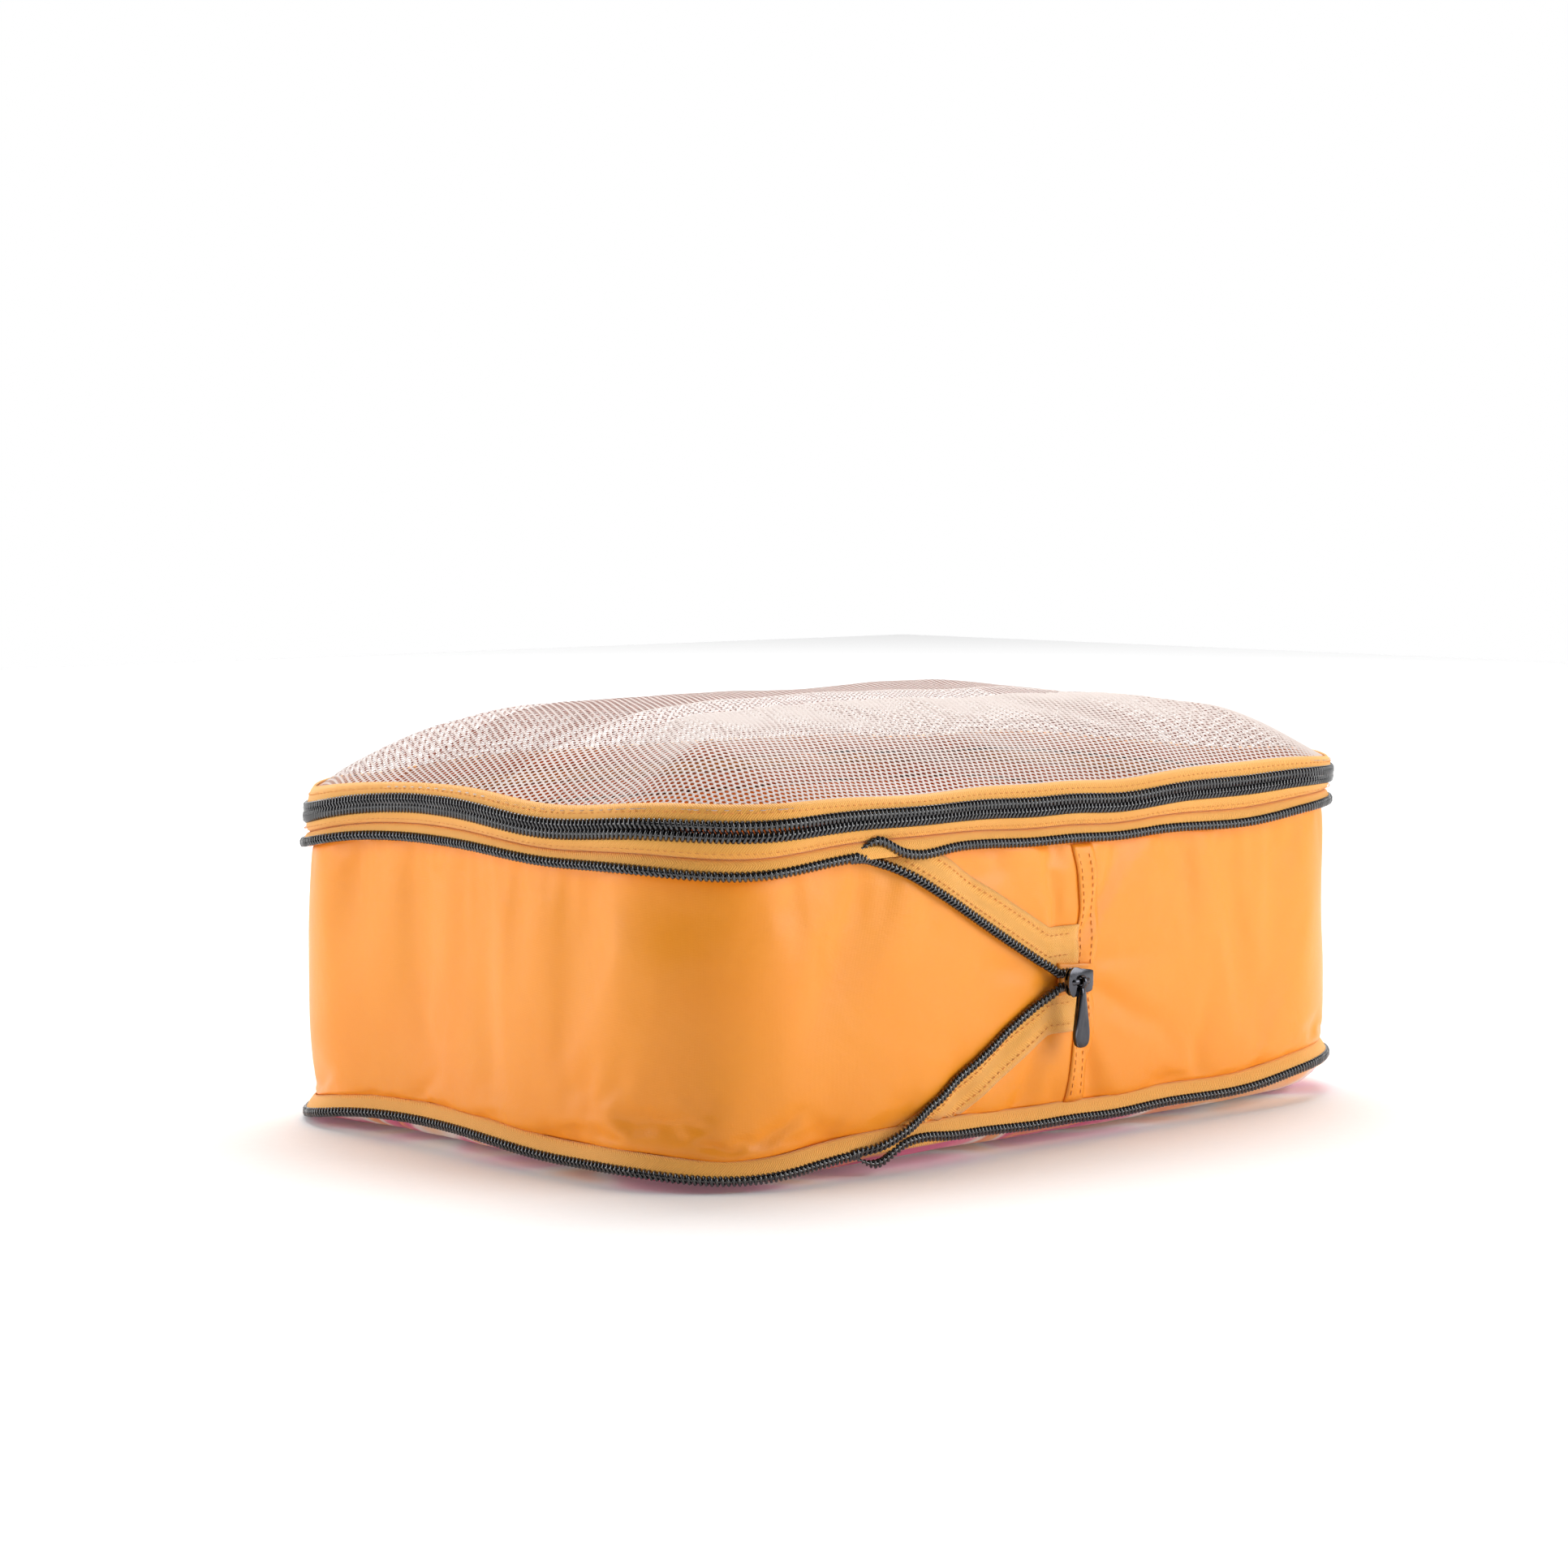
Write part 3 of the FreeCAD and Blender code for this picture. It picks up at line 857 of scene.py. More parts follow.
@dataclass
class Stitches:
    """A row of lock stitches along a line of points on a surface."""

    name: str
    line: np.ndarray
    normal: np.ndarray
    pitch: float = 2.7 * MM
    length: float = 1.9 * MM
    thickness: float = 0.42 * MM

    def add_to(self, bm: bmesh.types.BMesh) -> None:
        """Lays each stitch as a stretched ball that sinks into the cloth at both ends."""
        gaps = np.linalg.norm(np.diff(self.line, axis=0), axis=1)
        walked = np.concatenate([[0], np.cumsum(gaps)])
        count = int(walked[-1] / self.pitch)
        for index in range(count):
            at = (index + 0.5) * self.pitch
            wanted = ((at, self.line), (at + 0.5 * MM, self.line), (at, self.normal))
            place, ahead, out = (Vector([float(np.interp(d, walked, rows[:, k])) for k in range(3)])
                                 for d, rows in wanted)
            heading = (ahead - place).normalized()
            side = out.cross(heading).normalized()
            lift = heading.cross(side)
            turn = Matrix((heading, side, lift)).transposed().to_4x4()
            size = Matrix.Diagonal((self.length / 2, self.thickness / 2, self.thickness * 0.45, 1))
            bmesh.ops.create_icosphere(bm, subdivisions=1, radius=1.0,
                                       matrix=Matrix.Translation(place) @ turn @ size)


def sew(shop: Workshop, name: str, rows: list[Stitches]) -> bpy.types.Object:
    """Makes one piece of several rows of stitches."""
    bm = bmesh.new()
    for row in rows:
        row.add_to(bm)
    piece = piece_from(bm, name)
    piece.data.polygons.foreach_set("use_smooth", [True] * len(piece.data.polygons))
    piece.data.materials.append(shop.finishes.thread)
    LOG.info("stitches %s: %d faces", name, len(piece.data.polygons))
    return piece


def walk(shop: Workshop, start: float, end: float, inset: float, z: float,
         step: float = 2 * MM) -> tuple[np.ndarray, np.ndarray]:
    """A line at one inset and height along the plan, settled like the cloth.

    Args:
        shop: the workshop.
        start: distance at which the line starts.
        end: distance at which it ends.
        inset: metres inside the outline.
        z: height.
        step: spacing of its points.

    Returns:
        The points and their outward directions.
    """
    count = max(2, int(abs(end - start) / step) + 1)
    places, outs = [], []
    for distance in np.linspace(start, end, count):
        place, out = shop.plan.at(float(distance))
        place = place - out * inset
        places.append((place.x, place.y, z))
        outs.append((out.x, out.y, 0.0))
    return shop.softness.move(np.array(places)), np.array(outs)


# ---------------------------------------------------------------- sub-assemblies


@dataclass
class BaseAssembly:
    """The printed base with its flange, coil and bound seam."""

    shop: Workshop
    seam: float = 6 * MM
    flange_keep: float = 0.12

    def build(self) -> None:
        """Makes every piece that stays with the base."""
        self.panel()
        self.flange()
        self.coil()

    def panel(self) -> None:
        """The soft printed pan that the cube rests on."""
        level = self.shop.levels.base_coil / MM
        rise = level - 1.0
        profile = [(2.6, rise), (4.2, rise * 0.86), (7.0, rise * 0.6), (11.0, rise * 0.36),
                   (16.0, rise * 0.19), (22.0, rise * 0.08), (30.0, rise * 0.02), (40.0, 0.0)]
        plan = self.shop.plan
        band = Band("printed_base", plan, [(a * MM, b * MM) for a, b in reversed(profile)])
        piece = band.build()
        bm = bmesh.new()
        bm.from_mesh(piece.data)
        inner = [e for e in bm.edges if e.is_boundary and e.verts[0].co.z < 1 * MM]
        bmesh.ops.contextual_create(bm, geom=inner)
        bmesh.ops.recalc_face_normals(bm, faces=bm.faces)
        bm.to_mesh(piece.data)
        bm.free()
        points = self.shop.softness.move(read_points(piece.data))
        for row in points:
            row[2] = max(row[2] + 0.5 * MM * abs(noise.noise(Vector(row) * 30)), 0.02 * MM)
        write_points(piece.data, points)
        solidify(piece, 0.7 * MM)
        shade_smooth(piece, 60)
        self.shop.dress(piece, self.shop.finishes.print, Slot.PRINT, ("base_panel",))
        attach(piece, "base")

    def flange(self) -> None:
        """The tape flange from the wall's seam out to the coil, and the binding behind it."""
        level = self.shop.levels.base_coil / MM
        tape = self.shop.band("base_flange", [(1.3, level - 1.2), (1.1, level), (1.5, level + 1.6),
                                              (2.6, level + 3.6), (3.8, level + 5.2),
                                              (4.6, level + 6.0)], 0.8 * MM)
        self.shop.dress(tape, self.shop.finishes.tape, Slot.TAPE, ("base_tape",))
        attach(tape, "base")
        self.fold_down(tape)
        binding = self.shop.band("base_binding_cloth", [(6.0, level - 0.6), (7.4, level - 0.4),
                                                        (7.6, level + 2.5), (6.4, level + 5.0),
                                                        (5.4, level + 5.2)], 0.6 * MM)
        self.shop.dress(binding, self.shop.finishes.binding, Slot.BINDING, ("base_binding",))
        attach(binding, "base")
        self.fold_down(binding)

    def fold_down(self, piece: bpy.types.Object) -> None:
        """Gives the piece its own copy of its mesh."""
        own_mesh(piece)

    def coil(self) -> None:
        """The lower row of the compression zipper, once round from the V."""
        row = ring_coil(self.shop, "base_coil_row", self.shop.levels.base_coil, -1)
        self.shop.dress(row, self.shop.finishes.coil, Slot.COIL, ("base_coil",))
        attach(row, "base")


def tuck(x: np.ndarray) -> np.ndarray:
    """How far the ring coil's tucked start stands off its line, by distance from the V's start."""
    near = np.exp(-((x - 8 * MM) / (8 * MM)) ** 2) * 4.6 * MM
    dip = np.exp(-((x - 28 * MM) / (12 * MM)) ** 2) * -1.6 * MM
    return near + dip


def ring_coil(shop: Workshop, name: str, z: float, away: int) -> bpy.types.Object:
    """A compression coil once round the plan, whose start is tucked beside the V's coil.

    Args:
        shop: the workshop.
        name: the piece's name.
        z: height of the coil's middle.
        away: 1 if the tucked start stands above the line, -1 if below.

    Returns:
        The coil.
    """
    begin = shop.plan.front(V_START)
    centres, outs = walk(shop, begin, begin + shop.plan.length, 1.2 * MM, z)
    gaps = np.linalg.norm(np.diff(centres, axis=0), axis=1)
    walked = np.concatenate([[0], np.cumsum(gaps)])
    centres[:, 2] += away * tuck(walked)
    centres -= outs * (1.2 * MM * np.exp(-walked / (5 * MM)))[:, None]
    over = np.tile((0.0, 0.0, 1.0), (len(centres), 1))
    return CoilRow(name, centres, outs, over, taper=(10 * MM, 0.0), half_width=1.25 * MM).build()


@dataclass
class GussetAssembly:
    """The nylon wall, its upright seam, and the open V of the compression zipper."""

    shop: Workshop
    rows: int = 34
    slope: float = 0.545
    bend: float = 6 * MM
    lead: float = 10.6 * MM
    mouth: float = 2.4 * MM
    free_inset: float = 3.9 * MM
    give: float = 1.2 * MM
    frames: int = 24
    most_shift: float = 6.5 * MM
    tape_width: float = 15.0 * MM
    tape_map: tuple[float, float] = (0.5, 0.118)
    tree: BVHTree = field(init=False)

    def build(self) -> None:
        """Makes the wall first, then lays the V on it."""
        self.wall()
        self.seam()
        for side, name in ((1, "upper"), (-1, "lower")):
            self.v_tape(side, name)
            self.v_coil(side, name)

    def squash(self, piece: bpy.types.Object) -> None:
        """Gives the piece its own copy of its mesh."""
        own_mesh(piece)

    def wall(self) -> None:
        """The wall, simulated as slack cloth between its two seams."""
        level = self.shop.levels
        low, high = level.base_coil + 5.6 * MM, level.top_coil - 0.6 * MM
        profile = []
        for index in range(self.rows + 1):
            share = index / self.rows
            share = share - 0.06 * math.sin(2 * math.pi * share)
            tuck_in = 1.0 * MM * (math.exp(-share * 18) + math.exp(-(1 - share) * 18))
            inset = 4.0 * MM + tuck_in - 0.2 * MM * math.sin(math.pi * share)
            profile.append((inset, low + (high - low) * share))
        piece = Band("gusset_cloth", self.shop.plan, profile, step=3.4 * MM, corner_steps=24).build()
        self.pleat(piece, low, high)
        self.simulate(piece, low, high)
        self.keep_behind(piece)
        self.shop.settle(piece)
        subdivide(piece)
        apply_modifiers(piece)
        shade_smooth(piece, 80)
        self.tree = BVHTree.FromObject(piece, bpy.context.evaluated_depsgraph_get())
        solidify(piece, 0.45 * MM)
        self.shop.dress(piece, self.shop.finishes.nylon, Slot.NYLON, ("gusset_wall",))
        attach(piece, "base")
        self.squash(piece)

    def pleat(self, piece: bpy.types.Object, low: float, high: float) -> None:
        """Gathers the cloth along both seams and pulls it to the V's point, as where the folds start."""
        points = read_points(piece.data)
        distance, _ = self.shop.plan.measure(points)
        share = (points[:, 2] - low) / (high - low)
        push = np.zeros(len(points))
        for edge, phase in ((share, 0.0), (1 - share, 3.0)):
            fade = np.exp(-((edge - 0.1) / 0.16) ** 2)
            ripple = np.array([noise.noise(Vector((d * 42, phase, 0.3))) for d in distance])
            push += fade * ripple * 2.4 * MM
        broad = np.array([noise.noise(Vector((d * 14, s * 2.2, 7.7))) for d, s in zip(distance, share)])
        push += broad * 2.4 * MM * np.sin(math.pi * np.clip(share, 0, 1))
        out_x, out_y = self.shop.softness.outwards(points[:, 0], points[:, 1])
        x, z = points[:, 0], points[:, 2] - (low + high) / 2
        at_front = smooth((-points[:, 1] - 0.09) / 0.03)
        radius = np.hypot(x - SLIDER_X, z)
        bearing = np.arctan2(z, x - SLIDER_X)
        rays = np.cos(bearing * 9 + 0.8) + 0.6 * np.cos(bearing * 15 + 2.0)
        push += at_front * rays * 1.3 * MM * np.exp(-((radius - 0.03) / 0.028) ** 2)
        points[:, 0] += out_x * push
        points[:, 1] += out_y * push
        write_points(piece.data, points)

    def simulate(self, piece: bpy.types.Object, low: float, high: float) -> None:
        """Runs the cloth, held at its seams and along the V, with a little spare length."""
        rest = read_points(piece.data)
        distance, _ = self.shop.plan.measure(rest)
        share = (rest[:, 2] - low) / (high - low)
        held = np.zeros(len(rest))
        boundary = boundary_verts(piece.data)
        held[boundary] = 1.0
        line = np.abs(rest[:, 2] - (low + high) / 2) - self.v_height(rest[:, 0])
        front = rest[:, 1] < FRONT_Y
        on_v = (np.abs(line) < 2.2 * MM) & front & (rest[:, 0] > V_START) & (rest[:, 0] < SLIDER_X)
        held[on_v] = 1.0
        point = np.hypot(rest[:, 0] - SLIDER_X, rest[:, 2] - (low + high) / 2) < 9 * MM
        held[point & front] = 1.0
        group = piece.vertex_groups.new(name="held")
        for index in np.flatnonzero(held > 0):
            group.add([int(index)], 1.0, "REPLACE")
        cloth = piece.modifiers.new("cloth", "CLOTH")
        settings = cloth.settings
        settings.quality = 5
        settings.mass = 0.12
        settings.tension_stiffness = 20
        settings.compression_stiffness = 20
        settings.shear_stiffness = 8
        settings.bending_stiffness = 0.6
        settings.air_damping = 1.5
        settings.shrink_min = -0.012
        settings.use_pressure = True
        settings.uniform_pressure_force = 0.8
        settings.vertex_group_mass = "held"
        settings.effector_weights.gravity = 0.15
        cloth.collision_settings.use_collision = False
        cloth.point_cache.frame_start = 1
        cloth.point_cache.frame_end = self.frames
        for number in range(1, self.frames + 1):
            bpy.context.scene.frame_set(number)
        apply_modifiers(piece)
        bpy.context.scene.frame_set(1)
        moved = read_points(piece.data)
        shift = moved - rest
        size = np.linalg.norm(shift, axis=1)
        cap = self.most_shift
        moved = rest + shift * (np.tanh(size / cap) * cap / np.maximum(size, 1e-9))[:, None]
        write_points(piece.data, moved)
        piece.vertex_groups.clear()
        LOG.info("cloth moved up to %.1f mm", size.max() / MM)

    def keep_behind(self, piece: bpy.types.Object) -> None:
        """Eases the cloth's outward folds in so that they stay behind the coils."""
        points = read_points(piece.data)
        _, inset = self.shop.plan.measure(points)
        past = np.maximum(self.free_inset - inset, 0)
        back = past - self.give * np.tanh(past / self.give)
        out_x, out_y = self.shop.softness.outwards(points[:, 0], points[:, 1])
        points[:, 0] -= out_x * back
        points[:, 1] -= out_y * back
        write_points(piece.data, points)

    def v_height(self, x: np.ndarray) -> np.ndarray:
        """Half the height of the V's opening at x."""
        level = self.shop.levels
        half = (level.top_coil - level.base_coil) / 2
        drop = self.slope * self.bend * np.log1p(np.exp((x - V_START - self.lead) / self.bend))
        return np.maximum(half - drop, self.mouth)

    def on_wall(self, x: float, z: float, lift: float) -> Vector:
        """The place on the wall's outer face in front of (x, z), lifted off it."""
        hit = self.tree.ray_cast(Vector((x, RAY_START_Y, z)), Vector((0, 1, 0)))[0]
        y = hit.y if hit is not None else -self.shop.plan.half_y + 4 * MM
        return Vector((x, min(y, -self.shop.plan.half_y + 9 * MM) - lift, z))

    def drape(self, piece: bpy.types.Object, lift: float) -> None:
        """Lays a flat piece of the front onto the wall."""
        points = read_points(piece.data)
        laid = [self.on_wall(x, z, lift)[:] for x, _, z in points]
        write_points(piece.data, np.array(laid))

    def middle(self) -> float:
        """Height of the V's point."""
        return (self.shop.levels.base_coil + self.shop.levels.top_coil) / 2

    def tape_edge(self, x: float) -> float:
        """Half the height of the V's opening at x, steady from just before the slider on."""
        return float(self.v_height(np.array([min(x, SLIDER_X - 7 * MM)]))[0])

    def v_tape(self, side: int, name: str) -> None:
        """The tape beyond one coil of the V, sewn flat to the wall."""
        bm = bmesh.new()
        steps, across = 46, 8
        width = self.tape_width
        map_start, map_length = self.tape_map
        start, end = V_START + 2 * MM, 5.5 * MM
        bmesh.ops.create_grid(bm, x_segments=steps, y_segments=across, size=0.5)
        level = self.shop.levels
        limit = level.top_coil - 1.0 * MM if side > 0 else level.base_coil + 6.2 * MM
        layer = bm.loops.layers.uv.new(UV)
        shares = {v: (v.co.x + 0.5, v.co.y + 0.5) for v in bm.verts}
        for vert, (along, over) in shares.items():
            x = start + (end - start) * along
            z = self.middle() + side * (self.tape_edge(x) - 0.6 * MM + width * over)
            z = min(z, limit) if side > 0 else max(z, limit)
            vert.co = (x, -self.shop.plan.half_y, z)
        for face in bm.faces:
            for loop in face.loops:
                along, over = shares[loop.vert]
                loop[layer].uv = (along * map_length + map_start, over * width)
        flat = [f for f in bm.faces if f.calc_area() < 0.02 * MM * MM]
        bmesh.ops.delete(bm, geom=flat, context="FACES")
        if side < 0:
            bmesh.ops.reverse_faces(bm, faces=bm.faces)
        piece = piece_from(bm, f"v_{name}_tape_cloth")
        self.drape(piece, 0.75 * MM)
        face_towards(piece, (0, -1, 0))
        solidify(piece, 0.6 * MM)
        shade_smooth(piece, 60)
        self.shop.dress(piece, self.shop.finishes.tape, Slot.TAPE, (f"v_{name}_tape",))
        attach(piece, "base")
        self.squash(piece)
        rows = []
        for offset in (4.2 * MM, 11.5 * MM):
            line = []
            for x in np.arange(V_START + 8 * MM, 4 * MM, 1.5 * MM):
                z = self.middle() + side * (self.tape_edge(x) + offset)
                if abs(z - self.middle()) < abs(limit - self.middle()) - 1 * MM:
                    line.append(self.on_wall(float(x), z, 1.1 * MM)[:])
            rows.append(Stitches("v", np.array(line), np.tile((0.0, -1.0, 0.0), (len(line), 1))))
        stitches = sew(self.shop, f"v_{name}_stitches", rows)
        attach(stitches, "base")
        self.squash(stitches)

    def v_coil(self, side: int, name: str) -> None:
        """One coil of the V, from its ring to the slider's mouth."""
        xs = np.linspace(V_START - 3 * MM, SLIDER_X + 1 * MM, 134)
        zs = self.middle() + side * self.v_height(xs)
        hold = 2 * MM if side > 0 else 24 * MM
        leave = smooth((xs - V_START - hold + 4 * MM) / (14 * MM))
        over_flange = 0.0 if side > 0 else 1.9 * MM
        ring_y = -self.shop.plan.half_y + 1.2 * MM - over_flange * smooth((xs - V_START) / (8 * MM))
        on_ring = self.shop.softness.move(np.column_stack([xs, ring_y, zs]))
        lift = 1.9 * MM + 1.4 * MM * smooth((xs - SLIDER_X + 16 * MM) / (12 * MM))
        on_wall = np.array([self.on_wall(float(x), float(z), float(up))[:]
                            for x, z, up in zip(xs, zs, lift)])
        centres = on_ring * (1 - leave)[:, None] + on_wall * leave[:, None]
        ahead = np.gradient(centres, axis=0)
        ahead /= np.linalg.norm(ahead, axis=1)[:, None]
        outs = np.tile((0.0, -1.0, 0.0), (len(centres), 1))
        over = np.cross(ahead, outs)
        row = CoilRow(f"v_{name}_coil_row", centres, outs, over, half_width=1.25 * MM).build()
        self.shop.dress(row, self.shop.finishes.coil, Slot.COIL, (f"v_{name}_coil",))
        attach(row, "base")
        self.squash(row)

    @staticmethod
    def seam_bow(share: float) -> float:
        """How far the upright seam strays sideways at a share of its height."""
        return float(np.interp(share, (0.0, 0.12, 0.3, 0.5, 0.75, 0.9, 1.0),
                               (-5.0, -3.4, -1.0, -0.2, 1.2, 0.0, -2.4))) * MM

    def seam(self) -> None:
        """The overlapped upright seam beside the slider, with its two rows of stitches."""
        low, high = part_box("gusset_seam")
        bm = bmesh.new()
        bmesh.ops.create_grid(bm, x_segments=6, y_segments=44, size=0.5)
        for vert in bm.verts:
            u, v = vert.co.x + 0.5, vert.co.y + 0.5
            z = low.z + 5 * MM + (high.z - low.z - 5 * MM) * v
            bow = self.seam_bow(v)
            vert.co = (low.x + (high.x - low.x) * u + bow, -self.shop.plan.half_y, z)
        piece = piece_from(bm, "gusset_seam_cloth")
        flatten_map(piece)
        self.drape(piece, 0.5 * MM)
        points = read_points(piece.data)
        edge = np.exp(-(((points[:, 0] - low.x) / (2.5 * MM)) ** 2))
        points[:, 1] -= 0.25 * MM * edge
        write_points(piece.data, points)
        face_towards(piece, (0, -1, 0))
        solidify(piece, 0.5 * MM)
        shade_smooth(piece, 60)
        self.shop.dress(piece, self.shop.finishes.nylon, Slot.NYLON, ("gusset_seam",))
        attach(piece, "base")
        self.squash(piece)
        rows = []
        for offset in (2.0 * MM, 7.0 * MM):
            line = []
            for v in np.linspace(0.02, 0.98, 60):
                bow = self.seam_bow(v)
                z = low.z + 5 * MM + (high.z - low.z - 5 * MM) * v
                line.append(self.on_wall(low.x + offset + bow, z, 0.75 * MM)[:])
            rows.append(Stitches("seam", np.array(line), np.tile((0.0, -1.0, 0.0), (len(line), 1))))
        stitches = sew(self.shop, "seam_stitches", rows)
        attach(stitches, "base")
        self.squash(stitches)


def boundary_verts(mesh: bpy.types.Mesh) -> list[int]:
    """The vertices on a mesh's open edges."""
    bm = bmesh.new()
    bm.from_mesh(mesh)
    found = [v.index for v in bm.verts if v.is_boundary]
    bm.free()
    return found


def face_towards(piece: bpy.types.Object, direction: tuple[float, float, float]) -> None:
    """Turns a sheet so that most of it faces the given way."""
    bm = bmesh.new()
    bm.from_mesh(piece.data)
    bm.normal_update()
    if sum(f.normal.dot(direction) * f.calc_area() for f in bm.faces) < 0:
        bmesh.ops.reverse_faces(bm, faces=bm.faces)
    bm.to_mesh(piece.data)
    bm.free()


def loft(bm: bmesh.types.BMesh, rings: list[list[bmesh.types.BMVert]]) -> None:
    """Joins rings of vertices into one closed body with capped ends."""
    for first, second in zip(rings, rings[1:]):
        edges = [e for e in bm.edges if all(v in first for v in e.verts) or all(v in second for v in e.verts)]
        bmesh.ops.bridge_loops(bm, edges=edges)
    for ring in (rings[0], rings[-1]):
        bmesh.ops.contextual_create(bm, geom=ring)
    bmesh.ops.recalc_face_normals(bm, faces=bm.faces)


@dataclass
class FrameAssembly:
    """The upper zipper frame: compression tape and coil, the main tape and coil, and the hinge cloth."""

    shop: Workshop
    hinge: float = 0.1

    def build(self) -> None:
        """Makes every piece of the frame."""
        level = self.shop.levels
        top, chain = level.top_coil / MM, level.chain / MM
        upper = self.shop.band("top_flange", [(3.6, top - 1.6), (1.6, top - 1.4), (1.3, top),
                                              (1.5, top + 2.0), (2.2, top + 3.6),
                                              (3.6, top + 4.6)], 0.8 * MM)
        self.shop.dress(upper, self.shop.finishes.tape, Slot.TAPE, ("top_tape",))
        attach(upper, "top_frame")
        lower = self.shop.band("main_lower_tape_cloth", [(3.9, top + 4.2), (2.5, top + 5.0), (1.8, top + 6.4),
                                                         (1.6, chain - 3.0), (1.7, chain - 0.4)], 0.8 * MM)
        self.shop.dress(lower, self.shop.finishes.tape, Slot.TAPE, ("main_lower_tape",))
        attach(lower, "top_frame")
        binding = self.shop.band("top_binding_cloth", [(4.4, top + 1.0), (6.6, top + 1.2), (7.2, top + 3.6),
                                                       (6.6, top + 6.4), (4.6, top + 6.8)], 0.6 * MM)
        self.shop.dress(binding, self.shop.finishes.binding, Slot.BINDING, ("top_binding",))
        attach(binding, "top_frame")
        self.coils()
        self.hinge_cloth()
        self.stitches()

    def coils(self) -> None:
        """The compression zipper's upper row and the frame's half of the main chain."""
        row = ring_coil(self.shop, "top_coil_row", self.shop.levels.top_coil, 1)
        self.shop.dress(row, self.shop.finishes.coil, Slot.COIL, ("top_coil",))
        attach(row, "top_frame")
        main = chain_row(self.shop, "main_lower_coil_row", self.shop.levels.chain - 1.5 * MM, -1)
        self.shop.dress(main, self.shop.finishes.coil, Slot.COIL, ("main_lower_coil",))
        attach(main, "top_frame")

    def hinge_cloth(self) -> None:
        """The uncut cloth that joins lid and frame behind, with the tabs over the chain's ends."""
        level = self.shop.levels
        bm = bmesh.new()
        bmesh.ops.create_grid(bm, x_segments=60, y_segments=12, size=0.5)
        low, high = level.chain - 5.5 * MM, level.chain + 5.5 * MM
        for vert in bm.verts:
            u, v = vert.co.x, vert.co.y + 0.5
            bow = math.sin(math.pi * v) * 0.7 * MM
            vert.co = (u * 2 * self.hinge, self.shop.plan.half_y - 0.7 * MM + bow, low + (high - low) * v)
        piece = piece_from(bm, "hinge_cloth")
        flatten_map(piece)
        self.shop.settle(piece)
        face_towards(piece, (0, 1, 0))
        solidify(piece, 0.7 * MM)
        shade_smooth(piece, 60)
        self.shop.dress(piece, self.shop.finishes.nylon, Slot.NYLON, ("hinge_strip",))
        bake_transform(piece)
        for name, side in (("chain_end_left", -1), ("chain_end_right", 1)):
            self.end_tab(name, side)

    def end_tab(self, name: str, side: int) -> None:
        """A folded cloth tab over one end of the chain."""
        low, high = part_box(name)
        bm = bmesh.new()
        bmesh.ops.create_cube(bm, size=1.0)
        bmesh.ops.subdivide_edges(bm, edges=bm.edges, cuts=2, use_grid_fill=True)
        centre, size = (low + high) / 2, (high - low)
        for vert in bm.verts:
            vert.co = centre + Vector((vert.co.x * (size.x + 2 * MM), vert.co.y * (size.y + 0.8 * MM),
                                       vert.co.z * (size.z - 0.4 * MM)))
        piece = piece_from(bm, name + "_cloth")
        flatten_map(piece)
        self.shop.settle(piece)
        subdivide(piece, 2)
        shade_smooth(piece, 60)
        self.shop.dress(piece, self.shop.finishes.nylon, Slot.NYLON, (name,))
        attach(piece, "top_frame")

    def stitches(self) -> None:
        """The row that holds the main tape to the seam."""
        end = self.shop.plan.length - HINGE_MARGIN
        line, outs = walk(self.shop, HINGE_MARGIN, end, 1.25 * MM, self.shop.levels.chain - 6.0 * MM)
        piece = sew(self.shop, "frame_stitches", [Stitches("frame", line, outs)])
        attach(piece, "top_frame")


def chain_row(shop: Workshop, name: str, z: float, side: int) -> bpy.types.Object:
    """One row of the main chain, from one end tab round to the other.

    Args:
        shop: the workshop.
        name: the piece's name.
        z: height of the row's middle.
        side: 1 for the lid's row, -1 for the frame's.

    Returns:
        The coil.
    """
    centres, outs = walk(shop, HINGE_MARGIN, shop.plan.length - HINGE_MARGIN, 1.2 * MM, z)
    over = np.tile((0.0, 0.0, 1.0), (len(centres), 1))
    phase = 0.0 if side > 0 else math.pi
    return CoilRow(name, centres, outs, over, phase=phase, hand=side, half_width=1.6 * MM).build()


